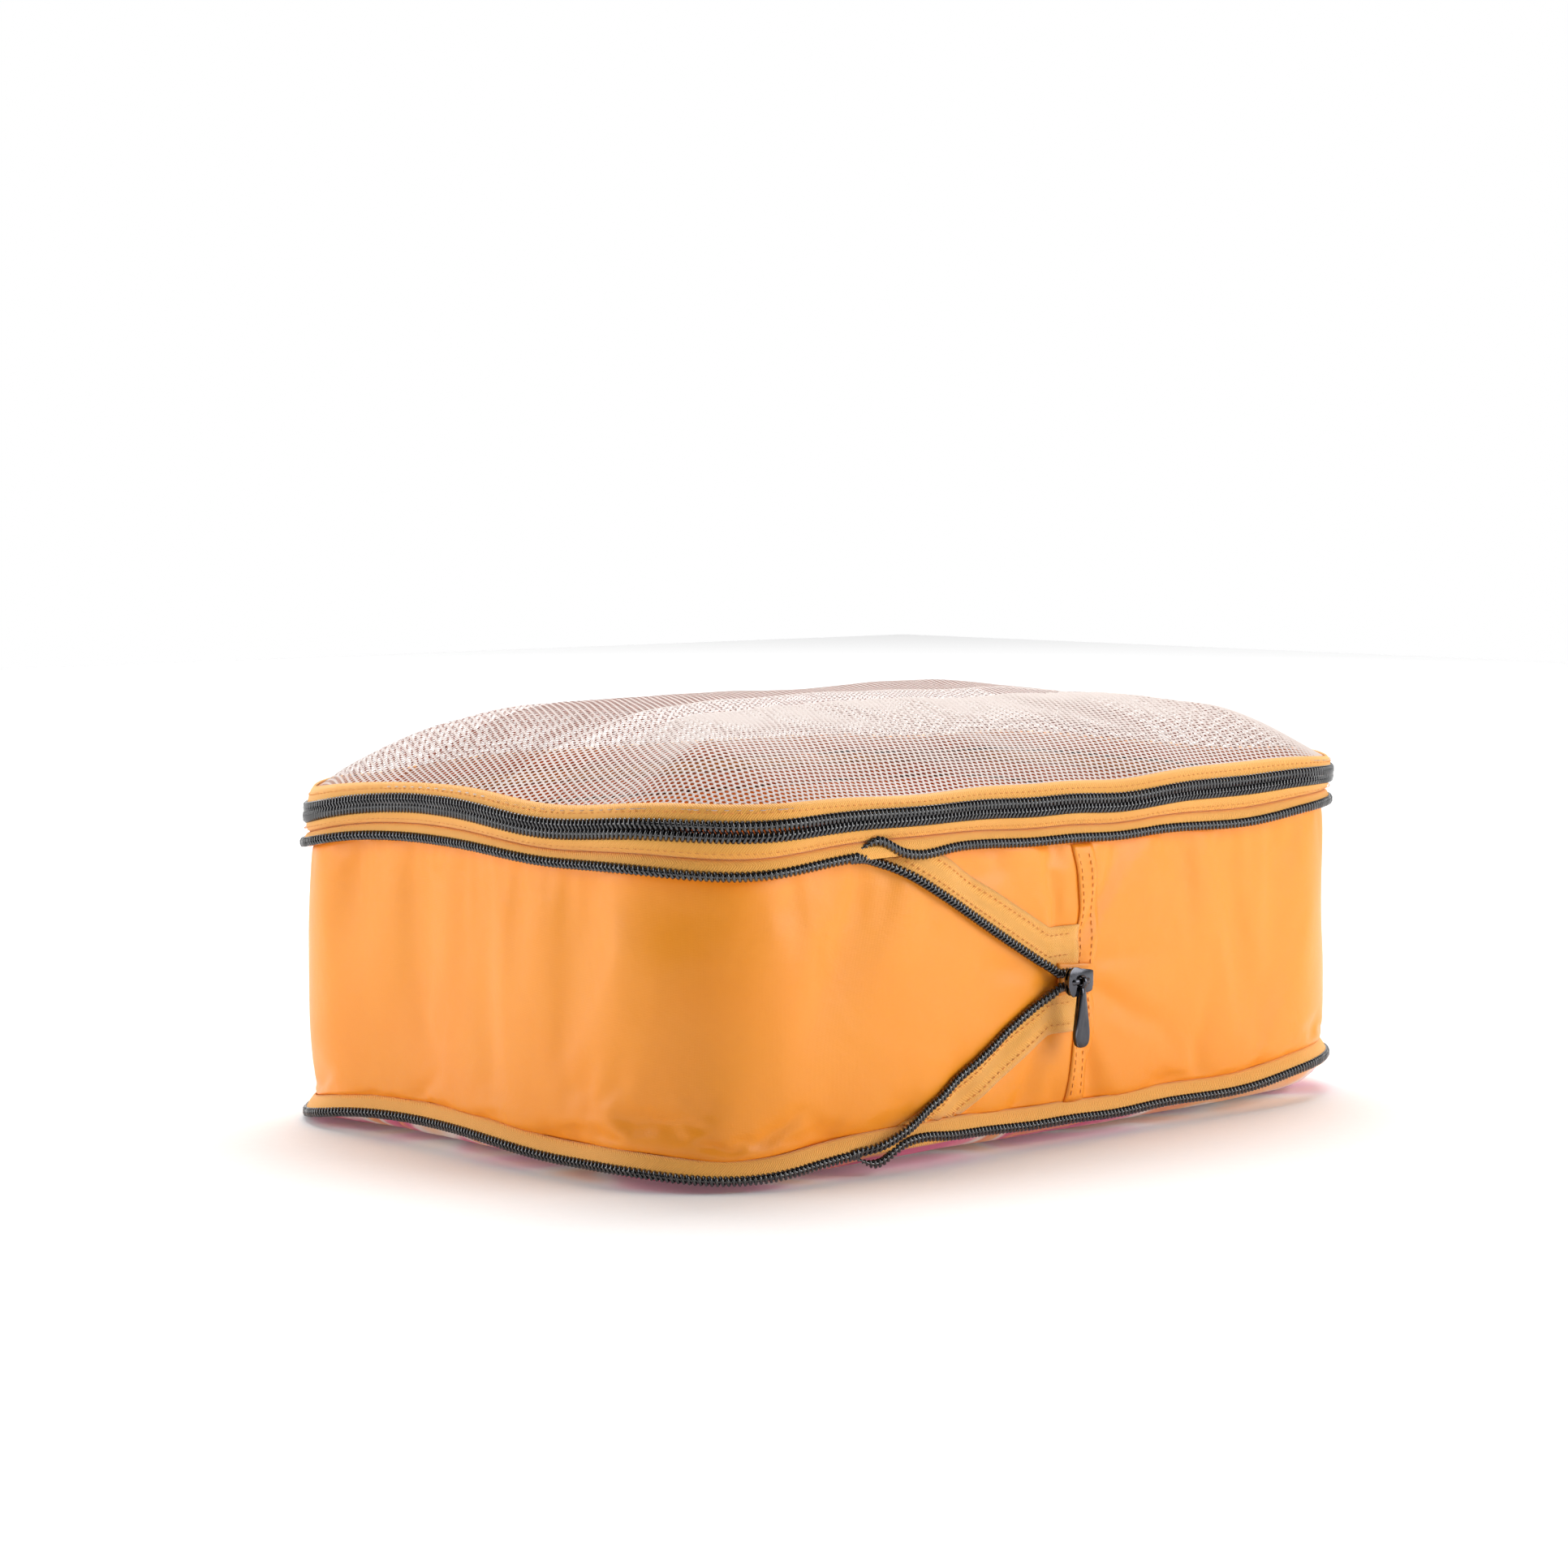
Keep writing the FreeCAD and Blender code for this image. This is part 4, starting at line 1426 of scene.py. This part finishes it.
@dataclass
class LidAssembly:
    """The domed net with its tape, coil and bound seam."""

    shop: Workshop
    pitch: float = 2.6 * MM
    yarn: float = 0.52 * MM
    spare: float = 8.5 * MM
    ridge: float = 0.32 * MM
    margin: float = 3.2 * MM

    def build(self) -> None:
        """Makes every piece of the lid."""
        level = self.shop.levels
        chain, net = level.chain / MM, level.net / MM
        tape = self.shop.band("lid_tape_cloth", [(1.7, chain + 0.4), (1.6, chain + 3.0), (1.9, chain + 5.0),
                                                 (2.6, net - 0.6), (3.6, net + 0.6)], 0.8 * MM)
        self.shop.dress(tape, self.shop.finishes.tape, Slot.TAPE, ("lid_tape",))
        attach(tape, "lid")
        binding = self.shop.band("lid_binding_cloth", [(4.4, chain + 2.6), (6.0, chain + 2.8),
                                                       (6.6, chain + 5.0), (6.2, net - 0.8),
                                                       (4.8, net - 0.2)], 0.6 * MM)
        self.shop.dress(binding, self.shop.finishes.binding, Slot.BINDING, ("lid_binding",))
        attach(binding, "lid")
        row = chain_row(self.shop, "lid_coil_row", level.chain + 1.5 * MM, 1)
        self.shop.dress(row, self.shop.finishes.coil, Slot.COIL, ("lid_coil",))
        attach(row, "lid")
        end = self.shop.plan.length - HINGE_MARGIN
        line, outs = walk(self.shop, HINGE_MARGIN, end, 1.9 * MM, level.net - 1.9 * MM)
        stitches = sew(self.shop, "lid_stitches", [Stitches("lid", line, outs)])
        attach(stitches, "lid")
        self.net()

    def crown(self, x: np.ndarray, y: np.ndarray) -> np.ndarray:
        """Height of the net above its seam, with its soft bumps."""
        plan = self.shop.plan
        points = np.column_stack([x, y, np.zeros(len(x))])
        _, inset = plan.measure(points)
        rise = self.shop.levels.dome - self.shop.levels.net
        share = np.clip((inset - 3.0 * MM) / 0.115, 0, 1)
        height = rise * (1 - (1 - share) ** 2.5)
        bumps = np.array([noise.noise(Vector((a * 17, b * 17, 2.0)))
                          + 0.5 * noise.noise(Vector((a * 40, b * 40, 5.0))) for a, b in zip(x, y)])
        return height + bumps * 1.5 * MM * smooth(share * 4)

    def net(self) -> None:
        """The knitted net: hexagonal cells over the dome, each a hole in a ring of yarn."""
        plan = self.shop.plan
        wide, deep = plan.half_x + self.spare, plan.half_y + self.spare
        bm = self.cells(wide, deep)
        before = len(bm.verts)
        cells = list(bm.faces)
        bmesh.ops.inset_individual(bm, faces=cells, thickness=self.yarn, use_even_offset=True)
        bmesh.ops.delete(bm, geom=cells, context="FACES_ONLY")
        flat_area = sum(face.calc_area() for face in bm.faces)
        LOG.info("net cells %d, knots %d, yarn area %.4f", len(cells), before, flat_area)
        piece = piece_from(bm, "net_dome")
        points = read_points(piece.data)
        x, y = self.draw_in(points)
        knots = np.arange(len(points)) < before
        z = self.shop.levels.net - 1.3 * MM + self.crown(x, y) + knots * self.ridge
        write_points(piece.data, np.column_stack([x, y, z]))
        self.shop.settle(piece)
        piece.data.polygons.foreach_set("use_smooth", [True] * len(piece.data.polygons))
        face_towards(piece, (0, 0, 1))
        self.shop.dress(piece, self.shop.finishes.net, Slot.NET, ("lid_net",))
        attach(piece, "lid")

    def cells(self, wide: float, deep: float) -> bmesh.types.BMesh:
        """A flat field of hexagons, cut to the rounded outline.

        Args:
            wide: half the cut's length.
            deep: half its width.

        Returns:
            The field, its hexagons joined at their corners.
        """
        bm = bmesh.new()
        bmesh.ops.create_circle(bm, cap_ends=True, segments=6, radius=self.pitch / math.sqrt(3))
        row_gap = self.pitch * math.sqrt(3) / 2
        steps = [Vector((self.pitch * 2**k, 0, 0)) for k in range(8) if self.pitch * 2**k < 2 * wide]
        steps.append(Vector((self.pitch / 2, row_gap, 0)))
        steps += [Vector((0, row_gap * 2**k, 0)) for k in range(1, 8) if row_gap * 2**k < 2 * deep]
        for step in steps:
            copied = bmesh.ops.duplicate(bm, geom=bm.verts[:] + bm.edges[:] + bm.faces[:])["geom"]
            bmesh.ops.translate(bm, vec=step, verts=[v for v in copied if isinstance(v, bmesh.types.BMVert)])
        middle = Vector((round(wide / self.pitch) * self.pitch, round(deep / row_gap / 2) * 2 * row_gap, 0))
        bmesh.ops.translate(bm, vec=-middle, verts=bm.verts)
        outside = []
        for face in bm.faces:
            place = face.calc_center_median()
            over_x = max(abs(place.x) - self.shop.plan.run_x, 0)
            over_y = max(abs(place.y) - self.shop.plan.run_y, 0)
            if math.hypot(over_x, over_y) > self.shop.plan.corner + self.spare - self.margin:
                outside.append(face)
        bmesh.ops.delete(bm, geom=outside, context="FACES")
        bmesh.ops.remove_doubles(bm, verts=bm.verts, dist=0.1 * MM)
        bmesh.ops.recalc_face_normals(bm, faces=bm.faces)
        return bm

    def draw_in(self, points: np.ndarray) -> tuple[np.ndarray, np.ndarray]:
        """Draws the cut's edge in by the spare length that the dome's slope takes up.

        Args:
            points: rows of x, y and z on the flat cut.

        Returns:
            The x and y of each point over the dome.
        """
        x, y = points[:, 0], points[:, 1]
        _, inset = self.shop.plan.measure(points)
        share = np.clip((inset + self.spare) / 0.055, 0, 1)
        pull = self.spare * (1 - share) ** 2
        out_x, out_y = self.shop.softness.outwards(x, y)
        return x - out_x * pull, y - out_y * pull


@dataclass(frozen=True)
class SliderSizes:
    """A slider's sizes, along the zipper, across it and out of it."""

    length: float = 12.0 * MM
    shoulder: float = 10.4 * MM
    tail: float = 7.6 * MM
    plate: float = 0.9 * MM
    gap: float = 1.3 * MM
    back: float = 0.6 * MM


@dataclass
class SliderMaker:
    """Makes a slider, its bail and its pull in the place of their nodes."""

    shop: Workshop
    body_node: str
    bail_node: str
    pull_node: str
    slider_body: str
    pull_body: str
    turn: float = 0.0
    flip: int = 1
    sizes: SliderSizes = SliderSizes()
    centre: Vector = field(init=False)
    out: float = field(init=False)

    def build(self) -> None:
        """Makes the three pieces."""
        low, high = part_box(self.bail_node)
        self.centre = (low + high) / 2
        self.out = (high - low).y if self.turn == 0 else (high - low).x
        self.body()
        self.bail()
        self.pull()

    def place(self, bm: bmesh.types.BMesh) -> None:
        """Moves a slider to its node's place.

        Args:
            bm: the slider in its own space, with its shoulders to -X, its outside to -Y and the origin
                under the bail's middle.
        """
        if self.flip < 0:
            bmesh.ops.scale(bm, vec=(-1, 1, 1), verts=bm.verts)
            bmesh.ops.reverse_faces(bm, faces=bm.faces)
        bmesh.ops.rotate(bm, cent=(0, 0, 0), matrix=Matrix.Rotation(self.turn, 3, "Z"), verts=bm.verts)
        outward = Matrix.Rotation(self.turn, 3, "Z") @ Vector((0, -1, 0))
        bmesh.ops.translate(bm, vec=self.centre - outward * (self.out / 2), verts=bm.verts)

    def outline(self) -> list[tuple[float, float]]:
        """The slider plate's outline, shoulders to -X."""
        s = self.sizes
        half, tail = s.shoulder / 2, s.tail / 2
        left, right = -s.length / 2, s.length / 2
        points = [(left, -half * 0.35), (left + 0.8 * MM, -half * 0.75), (left + 2.4 * MM, -half),
                  (left + 4.6 * MM, -half * 0.98), (left + 7.5 * MM, -tail * 1.04), (right - 0.9 * MM, -tail),
                  (right, -tail * 0.82)]
        return points + [(x, -z) for x, z in reversed(points)]

    def body(self) -> None:
        """Two plates joined by the wedge, with rims turned in along both sides."""
        s = self.sizes
        bm = bmesh.new()
        outer = -s.plate - s.gap
        plates = ((0.0, s.plate * 0.8, 0.94), (-s.plate * 0.8 - s.gap + 0.2 * MM, s.plate, 1.0))
        for near, thickness, scale in plates:
            self.slab(bm, [(x * scale, z * scale) for x, z in self.outline()], near, thickness)
        wedge = [(-s.length / 2 + 0.3 * MM, -0.9 * MM), (-s.length / 2 + 1.4 * MM, -1.7 * MM),
                 (-s.length / 2 + 3.6 * MM, -1.2 * MM), (0.5 * MM, 0.0),
                 (-s.length / 2 + 3.6 * MM, 1.2 * MM), (-s.length / 2 + 1.4 * MM, 1.7 * MM),
                 (-s.length / 2 + 0.3 * MM, 0.9 * MM)]
        self.slab(bm, wedge, -0.4 * MM, s.gap + 0.6 * MM)
        for side in (1, -1):
            rim = [(-2.2 * MM, side * s.shoulder * 0.47), (s.length / 2 - 0.7 * MM, side * s.tail * 0.5),
                   (s.length / 2 - 0.7 * MM, side * (s.tail * 0.5 - 0.9 * MM)),
                   (-2.2 * MM, side * (s.shoulder * 0.47 - 0.9 * MM))]
            self.slab(bm, rim if side > 0 else rim[::-1], outer + 0.5 * MM, 0.9 * MM)
        bmesh.ops.recalc_face_normals(bm, faces=bm.faces)
        sharp = [e for e in bm.edges if e.is_manifold and e.calc_face_angle(0) > 0.6]
        bmesh.ops.bevel(bm, geom=sharp, offset=0.22 * MM, segments=2, profile=0.5, affect="EDGES",
                        material=-1)
        self.place(bm)
        piece = piece_from(bm, self.body_node + "_metal")
        shade_smooth(piece, 35)
        self.shop.dress(piece, self.shop.finishes.metal, Slot.METAL, (self.body_node,))
        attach(piece, self.slider_body)

    def slab(self, bm: bmesh.types.BMesh, outline: list[tuple[float, float]], near: float,
             thickness: float) -> None:
        """Adds a plate with an (x, z) outline from near outwards."""
        verts = [bm.verts.new((x, near, z)) for x, z in outline]
        face = bm.faces.new(verts)
        top = bmesh.ops.extrude_face_region(bm, geom=[face])["geom"]
        bmesh.ops.translate(bm, vec=(0, -thickness, 0),
                            verts=[v for v in top if isinstance(v, bmesh.types.BMVert)])

    def bail(self) -> None:
        """The arch: a flat bar bent over the plate, its feet spread where they join it."""
        low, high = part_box(self.bail_node)
        rise = self.out
        length = max((high - low).x, (high - low).y)
        half, bar = length / 2, 0.8 * MM
        bm = bmesh.new()
        path = [(-half + bar, 0.6 * MM), (-half + bar, -rise * 0.35), (-half + bar * 1.25, -rise * 0.68),
                (-half + bar * 2.4, -rise + bar), (0.0, -rise + bar * 0.9), (half - bar * 2.4, -rise + bar),
                (half - bar * 1.25, -rise * 0.68), (half - bar, -rise * 0.35), (half - bar, 0.6 * MM)]
        rings = []
        for index, (x, y) in enumerate(path):
            before, after = path[max(index - 1, 0)], path[min(index + 1, len(path) - 1)]
            along = Vector((after[0] - before[0], after[1] - before[1], 0)).normalized()
            side = Vector((along.y, -along.x, 0))
            flare = 1.35 if index in (0, len(path) - 1) else 1.0
            ring = bmesh.ops.create_circle(bm, cap_ends=False, segments=10, radius=1.0)["verts"]
            for vert in ring:
                a, b = vert.co.x, vert.co.y
                vert.co = Vector((x, y, 0)) + side * (a * 0.85 * MM) + Vector((0, 0, b * 1.15 * MM * flare))
            rings.append(ring)
        loft(bm, rings)
        self.place(bm)
        piece = piece_from(bm, self.bail_node + "_metal")
        subdivide(piece)
        shade_smooth(piece, 70)
        self.shop.dress(piece, self.shop.finishes.metal, Slot.METAL, (self.bail_node,))
        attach(piece, self.slider_body)

    def pull(self) -> None:
        """The teardrop pull: an eye round the bail, a thin neck and a blade with a thumb pad."""
        low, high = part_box(self.pull_node)
        drop = (high.z - low.z) - 2.5 * MM
        bm = bmesh.new()
        self.eye(bm)
        half_width, half_thick = 3.8 * MM, 1.25 * MM
        stations = ((-1.6, 0.30, 0.55), (-2.8, 0.42, 0.85), (-5.0, 0.48, 0.95), (-8.5, 0.60, 1.0),
                    (-12.5, 0.78, 1.0), (-16.5, 0.95, 1.0), (-19.5, 1.0, 0.96), (-21.6, 0.86, 0.86),
                    (-22.6, 0.58, 0.66), (-23.0, 0.25, 0.3))
        rings = []
        for z, wide, thick in stations:
            ring = bmesh.ops.create_circle(bm, cap_ends=False, segments=24, radius=1.0)["verts"]
            for vert in ring:
                a, b = vert.co.x, vert.co.y
                x = math.copysign(abs(a) ** 0.62, a) * half_width * wide
                y = math.copysign(abs(b) ** 0.5, b) * half_thick * thick
                pad = math.exp(-(((z + 17.5) / 4.2) ** 2)) * math.exp(-((x / (2.0 * MM)) ** 2))
                ridge = max(0.0, 1 - abs(x / (half_width * wide) + 0.25) / 0.9)
                if y < 0:
                    y += 0.7 * MM * pad - 0.5 * MM * ridge * thick
                vert.co = (x, y, z * MM * drop / (23.0 * MM))
            rings.append(ring)
        loft(bm, rings)
        joint = next(j for j in frame["joints"] if j["child"] == self.pull_body)
        bmesh.ops.rotate(bm, cent=(0, 0, 0), matrix=Matrix.Rotation(self.turn, 3, "Z"), verts=bm.verts)
        bmesh.ops.translate(bm, vec=Vector(joint["pos_m"]), verts=bm.verts)
        piece = piece_from(bm, self.pull_node + "_metal")
        subdivide(piece)
        shade_smooth(piece, 70)
        self.shop.dress(piece, self.shop.finishes.metal, Slot.METAL, (self.pull_node,))
        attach(piece, self.pull_body)

    def eye(self, bm: bmesh.types.BMesh) -> None:
        """The ring round the bail's bar."""
        ring = bmesh.ops.create_circle(bm, cap_ends=False, segments=10, radius=1.0)["verts"]
        for vert in ring:
            vert.co = Vector((vert.co.y * 1.1 * MM, vert.co.x * 0.58 * MM - 1.9 * MM, 0))
        edges = [e for e in bm.edges if all(v in ring for v in e.verts)]
        bmesh.ops.spin(bm, geom=ring + edges, cent=(0, 0, 0), axis=(1, 0, 0), dvec=(0, 0, 0),
                       angle=2 * math.pi, steps=20, use_merge=True, use_duplicate=False)


@dataclass
class PointAssembly:
    """The tab and the stop at the point of the V."""

    shop: Workshop
    gusset: GussetAssembly

    def build(self) -> None:
        """Makes the tab and the stop."""
        low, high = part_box("garage_tab")
        bm = bmesh.new()
        bmesh.ops.create_grid(bm, x_segments=10, y_segments=10, size=0.5)
        centre, size = (low + high) / 2, high - low
        for vert in bm.verts:
            u, v = vert.co.x, vert.co.y
            narrow = 1 - 0.25 * (u + 0.5)
            vert.co = (centre.x + u * size.x * 0.8, low.y, centre.z + v * size.z * 0.72 * narrow)
        piece = piece_from(bm, "garage_tab_cloth")
        flatten_map(piece)
        self.gusset.drape(piece, 1.5 * MM)
        face_towards(piece, (0, -1, 0))
        solidify(piece, 0.6 * MM)
        shade_smooth(piece, 60)
        self.shop.dress(piece, self.shop.finishes.nylon, Slot.NYLON, ("garage_tab",))
        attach(piece, "wall_middle")
        self.stop()

    def stop(self) -> None:
        """The metal stop clamped over both rows."""
        low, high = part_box("comp_stop")
        bm = bmesh.new()
        bmesh.ops.create_cube(bm, size=1.0)
        for vert in bm.verts:
            vert.co = (low + high) / 2 + Vector(a * b for a, b in zip(vert.co, high - low))
        bmesh.ops.bevel(bm, geom=list(bm.edges), offset=0.6 * MM, segments=3, profile=0.5, affect="EDGES",
                        material=-1)
        piece = piece_from(bm, "comp_stop_metal")
        shade_smooth(piece, 35)
        self.shop.dress(piece, self.shop.finishes.metal, Slot.METAL, ("comp_stop",))
        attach(piece, "wall_middle")


# ---------------------------------------------------------------- studio


@dataclass(frozen=True)
class Lamp:
    """One softbox, placed as seen from the camera's side; a level one shines straight down."""

    name: str
    place: tuple[float, float, float]
    size: float
    power: float
    level: bool = False


@dataclass(frozen=True)
class Studio:
    """Floor, lights and camera."""

    lens: float = 86.1
    distance: float = 1.379
    azimuth: float = -42.8
    eye: float = 0.229
    sideways: float = 0.0175
    pitch: float = 4.62
    dim: float = 0.03
    bright: float = 1.0
    aim_height: float = 0.07
    lamps: tuple[Lamp, ...] = (
        Lamp("left_box", (-1.6, -0.25, 0.7), 1.2, 16.0),
        Lamp("right_box", (1.6, -0.45, 0.7), 1.2, 20.5),
        Lamp("top_box", (0.1, 0.45, 1.9), 1.4, 6.5),
        Lamp("back_box", (0.0, 1.9, 2.6), 3.0, 105.0, level=True),
    )

    def build(self) -> None:
        """Makes everything that isn't the object."""
        self.floor()
        self.lights()
        self.camera()

    def floor(self) -> None:
        """A wide pale floor."""
        bm = bmesh.new()
        bmesh.ops.create_grid(bm, x_segments=1, y_segments=1, size=3.0)
        piece = piece_from(bm, "floor")
        piece.data.materials.append(StudioPaper().make())

    def lights(self) -> None:
        """Tall softboxes to the left and right, two overhead, and a surround that is brightest behind."""
        across = Matrix.Rotation(math.radians(self.azimuth), 3, "Z")
        for lamp in self.lamps:
            light = bpy.data.lights.new(lamp.name, "AREA")
            light.energy = lamp.power
            light.size = lamp.size
            holder = bpy.data.objects.new(lamp.name, light)
            holder.location = across @ Vector(lamp.place)
            aim = Vector((0, 0, -1)) if lamp.level else Vector((0, 0, self.aim_height)) - holder.location
            holder.rotation_euler = aim.to_track_quat("-Z", "Y").to_euler()
            bpy.context.scene.collection.objects.link(holder)
        world = bpy.data.worlds.new("surround")
        world.use_nodes = True
        nodes, links = world.node_tree.nodes, world.node_tree.links
        backdrop = nodes["Background"]
        backdrop.inputs[0].default_value = (1.0, 1.0, 1.0, 1.0)
        direction = nodes.new("ShaderNodeTexCoord")
        facing = nodes.new("ShaderNodeVectorMath")
        facing.operation = "DOT_PRODUCT"
        facing.inputs[1].default_value = across @ Vector((0, 1, 0))
        strength = nodes.new("ShaderNodeMapRange")
        for index, value in enumerate((-0.2, 0.85, self.dim, self.bright), start=1):
            strength.inputs[index].default_value = value
        links.new(direction.outputs["Generated"], facing.inputs[0])
        links.new(facing.outputs["Value"], strength.inputs[0])
        links.new(strength.outputs[0], backdrop.inputs[1])
        bpy.context.scene.world = world
        bpy.context.scene.view_settings.view_transform = "Standard"

    def camera(self) -> None:
        """The camera, a little above the lid and well back."""
        data = bpy.data.cameras.new("camera")
        data.lens = self.lens
        data.sensor_width = 36.0
        data.clip_start = 0.05
        holder = bpy.data.objects.new("camera", data)
        turn = math.radians(self.azimuth)
        ahead = Vector((-math.sin(turn), math.cos(turn), 0))
        right = Vector((math.cos(turn), math.sin(turn), 0))
        holder.location = -ahead * self.distance - right * self.sideways + Vector((0, 0, self.eye))
        down = math.radians(self.pitch)
        look = ahead * math.cos(down) - Vector((0, 0, math.sin(down)))
        holder.rotation_euler = look.to_track_quat("-Z", "Y").to_euler()
        bpy.context.scene.collection.objects.link(holder)
        bpy.context.scene.camera = holder


def write_sizes() -> None:
    """Updates the view layer."""
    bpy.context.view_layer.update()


def main() -> None:
    """Builds the packing cube and its studio."""
    logging.basicConfig(level=logging.INFO, format="%(message)s")
    low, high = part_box("top_coil")
    plan = Plan((high.x - low.x) / 2, (high.y - low.y) / 2, 50 * MM)
    levels = Levels.read()
    shop = Workshop(plan, levels, Softness(plan, levels), Finishes())
    Studio().build()
    BaseAssembly(shop).build()
    gusset = GussetAssembly(shop)
    gusset.build()
    PointAssembly(shop, gusset).build()
    FrameAssembly(shop).build()
    LidAssembly(shop).build()
    SliderMaker(shop, "comp_slider_body", "comp_bail", "comp_pull", "comp_slider", "comp_pull").build()
    for letter, flip in (("a", 1), ("b", -1)):
        SliderMaker(shop, f"main_slider_{letter}", f"main_bail_{letter}", f"main_pull_{letter}",
                    f"main_slider_{letter}", f"main_pull_{letter}", turn=math.pi / 2, flip=flip).build()
    write_sizes()


if __name__ == "__main__":
    main()
